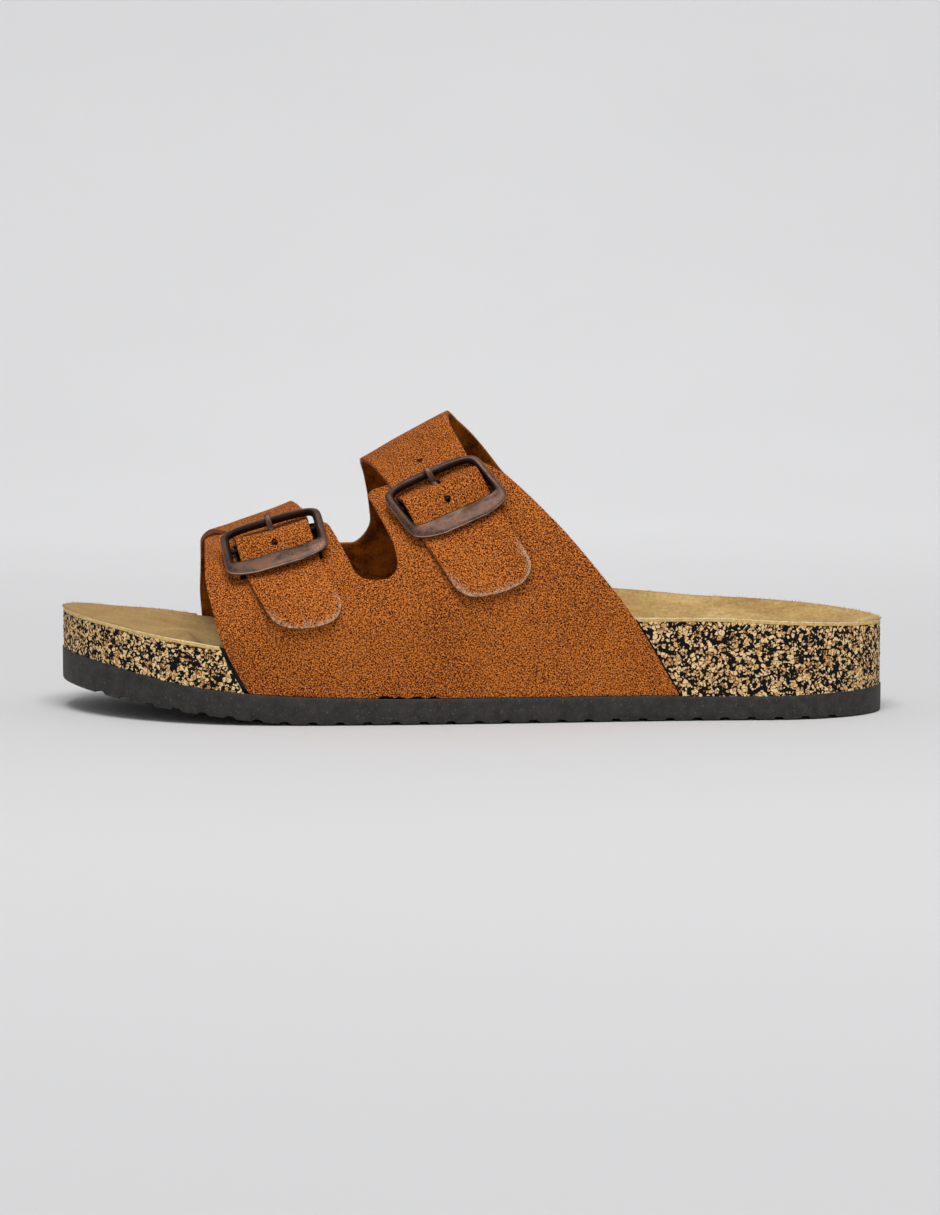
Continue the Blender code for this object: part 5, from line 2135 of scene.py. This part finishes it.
@dataclass
class Upper:
    """The suede upper: inner panel with straps, outer panel with tabs, and loops that hold the buckles."""

    pattern: Pattern
    step: float = 1.6
    edge_round: float = 0.4
    rim_width: float = 0.7
    tip_below: Pair = (-22.0, -28.0)
    # How far the painted shade on the tabs reaches under each buckle, and how sharply it fades.
    shade_half: Pair = (15.5, 10.5)
    shade_fade: float = 8.0
    hole_radius: float = 0.75
    # Width of the painted shade round each punched hole.
    hole_rim: float = 0.5
    prong_slot: Triple = (6.2, 8.6, 1.15)
    loop_inner: float = 0.45
    loop_thick: float = 1.9
    loop_span: Pair = (2.4, 8.6)
    loop_sunk: float = 0.8
    loop_steps: int = 16
    fibre_up: float = 0.7
    fibre_rise: float = 0.4

    def holes(self) -> list[Array]:
        """Outlines of the punched holes and the prongs' slots."""
        outlines = []
        for strap in STRAPS:
            for up in strap.holes:
                outlines.append(self.pattern.slot_outline(strap, up, up, self.hole_radius))
            outlines.append(self.pattern.slot_outline(strap, *self.prong_slot))
        return outlines

    def shell(self, sheet: FlatSheet, lift: Array, creases: Sequence[Crease]) -> Array:
        """Points of a wall over a sheet, with rounded cut edges: the inner face and then the outer face.

        Args:
            sheet: The sheet.
            lift: Offset of its inner face at each point.
            creases: Its creases.

        Returns:
            The points.
        """
        x, girth = sheet.points.T
        short = self.edge_round - np.minimum(sheet.edge_distance, self.edge_round)
        drop = self.edge_round - np.sqrt(self.edge_round**2 - short**2)
        lift = lift + creased(sheet.points, creases)
        low = self.pattern.last.offset(x, girth, lift + drop)
        high = self.pattern.last.offset(x, girth, lift + self.pattern.last.thick - drop)
        return np.vstack([low, high])

    def frayed(self, sheet: FlatSheet) -> Array:
        """How frayed and pale each point of the straps is: most on the cut edge of their free ends.

        Args:
            sheet: The sheet.

        Returns:
            The value at each point, from 0 to 1.
        """
        rim = np.clip(1 - sheet.edge_distance / self.rim_width, 0.0, 1.0)
        start, full = self.tip_below
        below = np.zeros(len(sheet.points))
        for strap in STRAPS:
            along, up = self.pattern.strap_frame(strap, sheet.points)
            near = np.abs(along) < 2 * strap.half
            below = np.where(near, np.clip((up - start) / (full - start), 0.0, 1.0), below)
        return rim * below

    def shaded(self, sheet: FlatSheet) -> Array:
        """How much painted shade each point of the outer panel has: its tabs are painted dark under the
        buckles, where shade falls in the gaps beside the straps.

        Args:
            sheet: The sheet.

        Returns:
            The value at each point, from 0 to 1.
        """
        half_along, half_up = self.shade_half
        shade = np.zeros(len(sheet.points))
        for strap in STRAPS:
            along, up = self.pattern.strap_frame(strap, sheet.points)
            out = np.maximum(np.abs(along) / half_along, np.abs(up) / half_up)
            shade = np.maximum(shade, np.clip((1 - out) * self.shade_fade, 0.0, 1.0))
        return shade

    def pierced(self, sheet: FlatSheet) -> Array:
        """How much painted shade each point of the straps has: painted dark at the rims of their punched
        holes, for the shade inside them.

        Args:
            sheet: The sheet.

        Returns:
            The value at each point, from 0 to 1.
        """
        shade = np.zeros(len(sheet.points))
        for strap in STRAPS:
            along, up = self.pattern.strap_frame(strap, sheet.points)
            for hole_up in strap.holes:
                past = np.hypot(along, up - hole_up) - self.hole_radius
                shade = np.maximum(shade, np.clip(1 - past / self.hole_rim, 0.0, 1.0))
        return shade

    def loop(self, seat: "BuckleSeat", side: int) -> Array:
        """Rings of a loop round a buckle's centre bar, on one side of its prong.

        Args:
            seat: The buckle's seat.
            side: -1 or 1 along the bar.

        Returns:
            The rings' points.
        """
        inner = seat.bar_radius + self.loop_inner
        outer = inner + self.loop_thick
        turns = np.linspace(0.0, math.pi, self.loop_steps)
        foot = seat.bar_z - seat.bar_radius - seat.bar_over_panel - self.loop_sunk
        over = [(outer * math.cos(turn), seat.bar_z + outer * math.sin(turn)) for turn in turns]
        under = [(inner * math.cos(turn), seat.bar_z + inner * math.sin(turn)) for turn in turns[::-1]]
        arch = [(outer, foot), *over, (-outer, foot), (-inner, foot), *under, (inner, foot)]
        rings = [[(side * x, seat.bar_up + y, z) for y, z in arch] for x in self.loop_span]
        return seat.placed(np.array(rings))

    def build(self, workshop: Workshop, seats: Sequence["BuckleSeat"]) -> None:
        """Builds and dresses the upper.

        Args:
            workshop: Where it is made.
            seats: Seats of the buckles.
        """
        finish = SuedeFinish()
        medial = FlatSheet(self.pattern.medial_outline(), self.holes(), self.step)
        lateral = FlatSheet(self.pattern.lateral_outline(), (), self.step)
        shells = (
            (medial, self.pattern.strap_lift(medial.points), STRAP_CREASES),
            (lateral, np.zeros(len(lateral.points)), PANEL_CREASES),
        )
        blocks = Blocks()
        for sheet, lift, creases in shells:
            x, girth = np.tile(sheet.points, (2, 1)).T * METRES
            rim = np.tile(self.frayed(sheet), 2) if sheet is medial else 0.0
            # Painted shade: at the straps' punched holes, and on the tabs under the buckles.
            shade = np.tile(self.pierced(sheet) if sheet is medial else self.shaded(sheet), 2)
            values = {"pattern_x": x, "pattern_girth": girth, "rim": rim, "shade": shade}
            blocks.add(self.shell(sheet, lift, creases), *shell_faces(sheet), **values)
        for seat in seats:
            for side in (-1, 1):
                rings = self.loop(seat, side)
                points = rings.reshape(-1, 3)
                x, girth = points[:, :2].T * METRES
                # The loops round the centre bars are painted all in shade.
                values = {"pattern_x": x, "pattern_girth": girth, "rim": 0.0, "shade": 1.0}
                blocks.add(points, ring_faces(*rings.shape[:2]), **values)
        finishes = [finish.make(), finish.make_lining(), finish.make_raw_edge()]
        thing = blocks.piece(workshop, "suede_upper", finishes)
        settle(thing, "upper_suede", "upper")
        for name, (sheet, lift, _) in zip(("strap_fibres", "panel_fibres"), shells):
            Fibres(name).build(workshop, *self.edge_ways(sheet, lift), "upper_suede", finishes[0])

    def edge_ways(self, sheet: FlatSheet, lift: Array) -> tuple[Array, list[tuple[int, int]], Array]:
        """Where loose fibres grow on a sheet's cut edge.

        Args:
            sheet: The sheet.
            lift: Offset of its inner face at each point.

        Returns:
            Points, edges between them and the way out at each.
        """
        rim = sheet.rim()
        first, second = np.array(rim).T
        ahead = sheet.points[second] - sheet.points[first]
        out = np.stack([ahead[:, 1], -ahead[:, 0]], 1) / np.linalg.norm(ahead, axis=1)[:, None]
        flat = sheet.points[first]
        height = lift[first] + self.fibre_up * self.pattern.last.thick
        roots = self.pattern.last.offset(*flat.T, height)
        ends = self.pattern.last.offset(*(flat + out).T, height + self.fibre_rise)
        order = {vertex: i for i, vertex in enumerate(first)}
        return roots, [(order[a], order[b]) for a, b in rim], ends - roots


@dataclass
class BuckleSeat:
    """Where a buckle sits on its strap: X along its bars, Y up the strap and Z out from the panel."""

    pattern: Pattern
    strap: Strap
    half_height: float = 13.7
    window_half: float = 14.4
    window_top: float = 10.3
    window_bottom: float = 7.0
    chord_half: float = 12.0
    seat_steps: int = 5
    seat_gap: float = 0.55
    bar_up: float = 4.0
    bar_radius: float = 0.9
    bar_over_panel: float = 0.4
    matrix: Matrix = field(init=False)
    seat_z: float = field(init=False)
    bar_z: float = field(init=False)

    def __post_init__(self) -> None:
        """Finds the seat's place, the height of the frame's underside and that of the centre bar."""
        thick = self.pattern.last.thick
        half = self.chord_half
        top, bottom = self.panel_point(0.0, half, thick), self.panel_point(0.0, -half, thick)
        toe_end, heel_end = self.panel_point(-half, 0.0, thick), self.panel_point(half, 0.0, thick)
        up = (top - bottom).normalized()
        out = (heel_end - toe_end).cross(up).normalized()
        along = up.cross(out)
        self.matrix = Matrix((along, up - self.strap.skew * along, out)).transposed().to_4x4()
        self.matrix.translation = (top + bottom) / 2
        lower = np.linspace(-self.half_height, -self.window_bottom, self.seat_steps)
        upper = np.linspace(self.window_top, self.half_height, self.seat_steps)
        across = np.linspace(-self.window_half, self.window_half, self.seat_steps)
        under_bars = [(along, up) for along in across for up in (*lower, *upper)]
        self.seat_z = self.highest(under_bars, self.strap_face) + self.seat_gap
        under_bar = [(along, self.bar_up) for along in (-self.window_half, 0.0, self.window_half)]
        self.bar_z = self.highest(under_bar, lambda up: thick) + self.bar_over_panel + self.bar_radius

    def panel_point(self, along: float, up: float, out: float) -> Vector:
        """A point over the last on the strap."""
        x, girth = self.pattern.strap_point(self.strap, along, up)
        return Vector(self.pattern.last.offset(x, girth, out)[0])

    def strap_face(self, up: float) -> float:
        """Offset of the strap's outer face from the last."""
        return 2 * self.pattern.last.thick + float(self.pattern.lift(up))

    def highest(self, places: Sequence[Pair], out: Callable[[float], float]) -> float:
        """Greatest height over the seat of a face at an offset from the last, at places on the strap."""
        inverse = self.matrix.inverted()
        return max((inverse @ self.panel_point(along, up, out(up))).z for along, up in places)

    def placed(self, points: Array) -> Array:
        """Points of the seat in the sandal's frame."""
        turn = np.array(self.matrix.to_3x3())
        return points @ turn.T + np.array(self.matrix.translation)


@dataclass
class Buckle:
    """A cast buckle with a thin upper bar, a wide lower bar, a centre bar and a prong."""

    seat: BuckleSeat
    half_length: float = 17.4
    top_bow: float = 0.19
    bottom_bow: float = 0.26
    squareness: float = 9.0
    window_top_bow: float = 0.05
    thick: float = 2.8
    bottom_fall: float = 0.55
    side_fall: float = 0.2
    bar_squareness: float = 4.0
    rail_squareness: float = 2.6
    low_power: int = 6
    # Where the pale worn corner, partly a painted highlight, lies round the section, and how wide it is.
    worn_turn: float = 0.3
    worn_spread: float = 0.25
    # How the lower bar's inner wall, and the inner half of the rails and upper bar, are painted in shade,
    # partly dark patina.
    bar_dark: Pair = (4.0, 2.6)
    bar_dark_below: float = 0.8
    rail_dark: Pair = (2.0, 0.2)
    steps: int = 132
    section_steps: int = 20
    section_girth: float = 9.0
    rail_half_height: float = 9.0
    rail_reach: float = 0.9
    rail_below_bar: float = 0.4
    bar_into_rail: float = 1.2
    bar_sides: int = 20
    gap: float = 0.3
    prong_half_width: float = 1.0
    prong_half_thick: float = 0.6
    prong_tip_up: float = 12.7
    prong_rise: float = 0.5
    prong_low: Pair = (3.4, -0.1)
    prong_hook: Pair = (-15.0, 100.0)
    prong_squareness: float = 3.0
    prong_tip_round: float = 0.9
    prong_tip_least: float = 0.02
    prong_sides: int = 14
    prong_steps: int = 60
    prong_wear: float = 0.35
    hook_steps: int = 9
    collar_up: float = 11.6
    collar_width: float = 0.7
    collar_grow: float = 0.12

    @staticmethod
    def superellipse(turn: Array | float, squareness: float) -> tuple[Array, Array]:
        """Reach and rise of a rounded square at turns round it.

        Args:
            turn: The turns.
            squareness: 2 for a circle, and more for a squarer form.

        Returns:
            Reach and rise.
        """
        cos, sin = np.cos(turn), np.sin(turn)
        power = 2 / squareness
        return np.sign(cos) * np.abs(cos) ** power, np.sign(sin) * np.abs(sin) ** power

    def frame_ring(self, turn: float) -> tuple[Array, Array]:
        """Points of the frame's section at a turn round it, and each one's wear and painted light.

        Args:
            turn: Angle round the frame.

        Returns:
            The points in the seat's frame, and their wear and painted light: 1 on the pale worn outer
            corner, which is partly a painted highlight, and -1 on the inner wall, painted in shade and
            partly dark patina.
        """
        seat = self.seat
        reach, rise = self.superellipse(turn, self.squareness)
        bow = self.top_bow if rise > 0 else self.bottom_bow
        outer = np.array([self.half_length * reach, seat.half_height * rise * (1 - bow * reach**2)])
        window_top = seat.window_top * (1 - self.window_top_bow * reach**2)
        window = window_top if rise > 0 else seat.window_bottom
        inner = np.array([seat.window_half * reach, window * rise])
        rail = 0.0
        if abs(reach) > self.rail_reach:
            rail = max(0.0, 1 - (outer[1] / self.rail_half_height) ** 2)
        foot = seat.seat_z - rail * max(0.0, seat.seat_z - seat.bar_z + self.rail_below_bar)
        top = seat.seat_z + self.thick
        turns = np.linspace(0.0, 2 * math.pi, self.section_steps, endpoint=False)
        low = max(0.0, -rise) ** self.low_power
        squareness = self.rail_squareness + (self.bar_squareness - self.rail_squareness) * low
        over, height = self.superellipse(turns, squareness)
        flat = (outer + inner) / 2 + (outer - inner) / 2 * over[:, None]
        fall = self.side_fall + (self.bottom_fall - self.side_fall) * max(0.0, -rise)
        top = top - fall * self.thick * (over + 1) / 2
        z = (top + foot) / 2 + (top - foot) / 2 * height
        # Pale worn line on the outer corner, partly a painted highlight.
        outer_corner = np.exp(-(((turns - self.worn_turn) / self.worn_spread) ** 2))
        # Painted shade, partly dark patina: on the lower bar's inner wall, and over the inner half of the
        # rails' and upper bar's section.
        steep, start = self.bar_dark
        bar_wall = np.clip(-over * steep - start, 0.0, 1.0) * (height < self.bar_dark_below)
        steep, start = self.rail_dark
        rail_wall = np.clip(-over * steep - start, 0.0, 1.0)
        return np.column_stack([flat, z]), outer_corner - low * bar_wall - (1 - low) * rail_wall

    def centre_bar(self) -> Array:
        """Rings of the round bar that joins the side rails under the strap."""
        half = self.seat.window_half + self.bar_into_rail
        turns = np.linspace(0.0, 2 * math.pi, self.bar_sides, endpoint=False)
        y = self.seat.bar_up + self.seat.bar_radius * np.cos(turns)
        z = self.seat.bar_z + self.seat.bar_radius * np.sin(turns)
        return np.array([np.column_stack([np.full_like(y, x), y, z]) for x in (-half, half)])

    def prong_path(self) -> Array:
        """(Y, Z) points of the prong, from its hook over the centre bar to its tip on the upper bar."""
        seat = self.seat
        radius = seat.bar_radius + self.gap + self.prong_half_thick
        turns = np.radians(np.linspace(*self.prong_hook, self.hook_steps))
        hook = np.column_stack([seat.bar_up - radius * np.cos(turns), seat.bar_z + radius * np.sin(turns)])
        tip_z = seat.seat_z + self.thick + self.gap + self.prong_half_thick
        low = hook[-1] + self.prong_low
        bend = (seat.window_top - self.prong_rise, tip_z - self.prong_rise)
        flat = [(seat.window_top + self.prong_rise, tip_z), (self.prong_tip_up, tip_z)]
        knots = np.array([*hook, low, bend, *flat])
        run = np.concatenate([[0.0], np.cumsum(np.linalg.norm(np.diff(knots, axis=0), axis=1))])
        places = np.linspace(0.0, run[-1], self.prong_steps)
        return np.column_stack([SmoothCurve(run, column)(places) for column in knots.T])

    def prong(self) -> Array:
        """Rings of the prong, with a collar where it lies on the upper bar and a rounded tip."""
        path = self.prong_path()
        along = np.gradient(path, axis=0)
        along /= np.linalg.norm(along, axis=1)[:, None]
        out = np.stack([-along[:, 1], along[:, 0]], 1)
        turns = np.linspace(0.0, 2 * math.pi, self.prong_sides, endpoint=False)
        over, height = self.superellipse(turns, self.prong_squareness)
        to_tip = np.clip((self.prong_tip_up - path[:, 0]) / self.prong_tip_round, 0.0, 1.0)
        taper = np.sqrt(np.clip(1 - (1 - to_tip) ** 2, self.prong_tip_least, 1.0))
        from_collar = (path[:, 0] - self.collar_up) / self.collar_width
        collar = 1 + self.collar_grow * np.exp(-(from_collar**2))
        rings = []
        for point, normal, grow in zip(path, out, taper * collar):
            yz = point + normal * (self.prong_half_thick * grow * height)[:, None]
            rings.append(np.column_stack([self.prong_half_width * grow * over, yz]))
        return np.array(rings)

    def build(self, workshop: Workshop, finish: bpy.types.Material) -> None:
        """Builds and dresses the frame and the prong.

        Args:
            workshop: Where they are made.
            finish: The metal.
        """
        name, placed = self.seat.strap.name, self.seat.placed
        turns = (np.arange(self.steps) + 0.5) * 2 * math.pi / self.steps
        sections = [self.frame_ring(turn) for turn in turns]
        rings = np.array([section[0] for section in sections])
        middle = rings.mean(axis=1)
        run = np.cumsum(np.linalg.norm(np.diff(middle, axis=0, prepend=middle[:1]), axis=1)) * METRES
        girth = np.linspace(0.0, self.section_girth * METRES, self.section_steps)
        values = {"wear": np.concatenate([section[1] for section in sections])}
        values |= {"run": np.repeat(run, self.section_steps), "girth": np.tile(girth, self.steps)}
        blocks = Blocks()
        blocks.add(placed(rings.reshape(-1, 3)), ring_faces(*rings.shape[:2], closed=True), **values)
        bar = self.centre_bar()
        # The centre bar is painted all in shade.
        blocks.add(placed(bar.reshape(-1, 3)), ring_faces(*bar.shape[:2]), wear=-1.0, run=0.0, girth=0.0)
        thing = blocks.piece(workshop, f"copper_frame_{name}", [finish])
        settle(thing, "buckle_metal", f"buckle_frame_{name}")
        rings = self.prong()
        values = {"run": rings[..., 1].ravel() * METRES, "girth": rings[..., 0].ravel() * METRES}
        blocks = Blocks()
        faces = ring_faces(*rings.shape[:2])
        blocks.add(placed(rings.reshape(-1, 3)), faces, wear=self.prong_wear, **values)
        thing = blocks.piece(workshop, f"copper_prong_{name}", [finish])
        settle(thing, "buckle_metal", f"buckle_prong_{name}")


class Lamp(NamedTuple):
    """A square soft light: its place in metres, the point that it faces, its side and its watts."""

    name: str
    place: Triple
    target: Triple
    size: float
    power: float


LAMPS = (
    Lamp("key_light", (0.04, -0.7, 1.55), (0.0, 0.0, 0.04), 0.9, 19.0),
    Lamp("front_light", (0.0, -2.2, 1.3), (0.0, 0.0, 0.04), 1.2, 3.0),
    Lamp("wall_light", (0.0, 0.9, 1.7), (0.0, 3.0, 0.6), 1.6, 20.5),
)


@dataclass
class Studio:
    """Pale seamless floor, soft lights and the camera."""

    target: Triple = (0.1, 0.9, 34.3)
    distance: float = 1100.0
    elevation: float = 5.1
    lens: float = 96.15
    sensor_height: float = 36.0
    floor_radius: float = 1.2
    sweep_radius: float = 1.8
    wall_height: float = 1.2
    floor_middle: float = 0.02
    floor_steps: int = 96
    sweep_steps: int = 14
    paper: Clouds = Clouds(3.0)
    floor_colour: Colour = seen(222, 222, 223)
    floor_pale: Colour = seen(226, 226, 227)
    # Painted shade on the floor towards the camera: its colour, and where it runs in Y.
    near_colour: Colour = seen(211, 211, 212)
    near_floor: Pair = (-0.22, -0.68)
    floor_roughness: float = 0.9
    floor_shine: float = 0.1
    world_strength: float = 0.34

    def camera(self) -> None:
        """The camera, at the photograph's angle and distance."""
        data = bpy.data.cameras.new("camera")
        data.sensor_fit = "VERTICAL"
        data.sensor_height = self.sensor_height
        data.lens = self.lens
        thing = bpy.data.objects.new("camera", data)
        rise = math.radians(self.elevation)
        reach = Vector((0.0, -math.cos(rise), math.sin(rise))) * self.distance
        thing.location = (Vector(self.target) + reach) * METRES
        thing.rotation_euler = (math.pi / 2 - rise, 0.0, 0.0)
        bpy.context.scene.collection.objects.link(thing)
        bpy.context.scene.camera = thing

    def floor(self) -> None:
        """A round floor that sweeps up into a low wall all round."""
        turns = np.linspace(0.0, math.pi / 2, self.sweep_steps)
        profile = [(self.floor_middle, 0.0), (self.floor_radius, 0.0)]
        for turn in turns[1:]:
            lift = self.sweep_radius * (1 - math.cos(turn))
            profile.append((self.floor_radius + self.sweep_radius * math.sin(turn), lift))
        profile.append((profile[-1][0], profile[-1][1] + self.wall_height))
        round_turns = np.linspace(0.0, 2 * math.pi, self.floor_steps, endpoint=False)
        points = [(r * math.cos(a), r * math.sin(a), z) for a in round_turns for r, z in profile]
        size = len(profile)
        faces = [[i * size for i in range(self.floor_steps)]]
        for i in range(self.floor_steps):
            here, there = i * size, (i + 1) % self.floor_steps * size
            faces += [[here + k, here + k + 1, there + k + 1, there + k] for k in range(size - 1)]
        mesh = bpy.data.meshes.new("floor")
        mesh.from_pydata(points, [], faces)
        mesh.shade_smooth()
        surface = Surface("floor_paper")
        paper = surface.clouds(self.paper)
        colour = surface.ramp(paper, (0.0, self.floor_colour), (1.0, self.floor_pale))
        # Painted shade: the floor darkens towards the camera.
        back = surface.node("ShaderNodeSeparateXYZ", {0: surface.place}).outputs["Y"]
        colour = surface.mix(surface.remap(back, *self.near_floor), colour, self.near_colour)
        finish = surface.dress(
            base_color=colour, roughness=self.floor_roughness, specular_ior_level=self.floor_shine
        )
        mesh.materials.append(finish)
        thing = bpy.data.objects.new("floor", mesh)
        bpy.context.scene.collection.objects.link(thing)

    def light(self, lamp: Lamp) -> None:
        """Hangs a light.

        Args:
            lamp: The light.
        """
        data = bpy.data.lights.new(lamp.name, "AREA")
        data.size = lamp.size
        data.energy = lamp.power
        thing = bpy.data.objects.new(lamp.name, data)
        thing.location = lamp.place
        aim = Vector(lamp.target) - Vector(lamp.place)
        thing.rotation_euler = aim.to_track_quat("-Z", "Y").to_euler()
        bpy.context.scene.collection.objects.link(thing)

    def build(self) -> None:
        """Sets the scene."""
        self.camera()
        self.floor()
        for lamp in LAMPS:
            self.light(lamp)
        scene = bpy.context.scene
        scene.world = scene.world or bpy.data.worlds.new("studio")
        scene.world.use_nodes = True
        back = scene.world.node_tree.nodes["Background"]
        back.inputs["Color"].default_value = (1.0, 1.0, 1.0, 1.0)
        back.inputs["Strength"].default_value = self.world_strength
        scene.view_settings.view_transform = "Standard"


def main() -> None:
    """Builds the studio and every piece of the sandal."""
    logging.basicConfig(level=logging.INFO, format="%(message)s")
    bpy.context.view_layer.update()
    Studio().build()
    sole = SoleShape()
    pattern = Pattern(Last(sole))
    outsole = Outsole(sole)
    workshop = Workshop.beside(sole, outsole.proud)
    outsole.build(workshop)
    cork = CorkFinish()
    cutters = Recesses(pattern).cutters(workshop, cork.make_recess())
    Midsole(sole).build(workshop, cutters, cork)
    Insole(sole).build(workshop, cutters)
    for cutter in cutters:
        bpy.data.objects.remove(cutter, do_unlink=True)
    seats = [BuckleSeat(pattern, strap) for strap in STRAPS]
    Upper(pattern).build(workshop, seats)
    metal = CopperFinish().make()
    for seat in seats:
        Buckle(seat).build(workshop, metal)


if __name__ == "__main__":
    main()
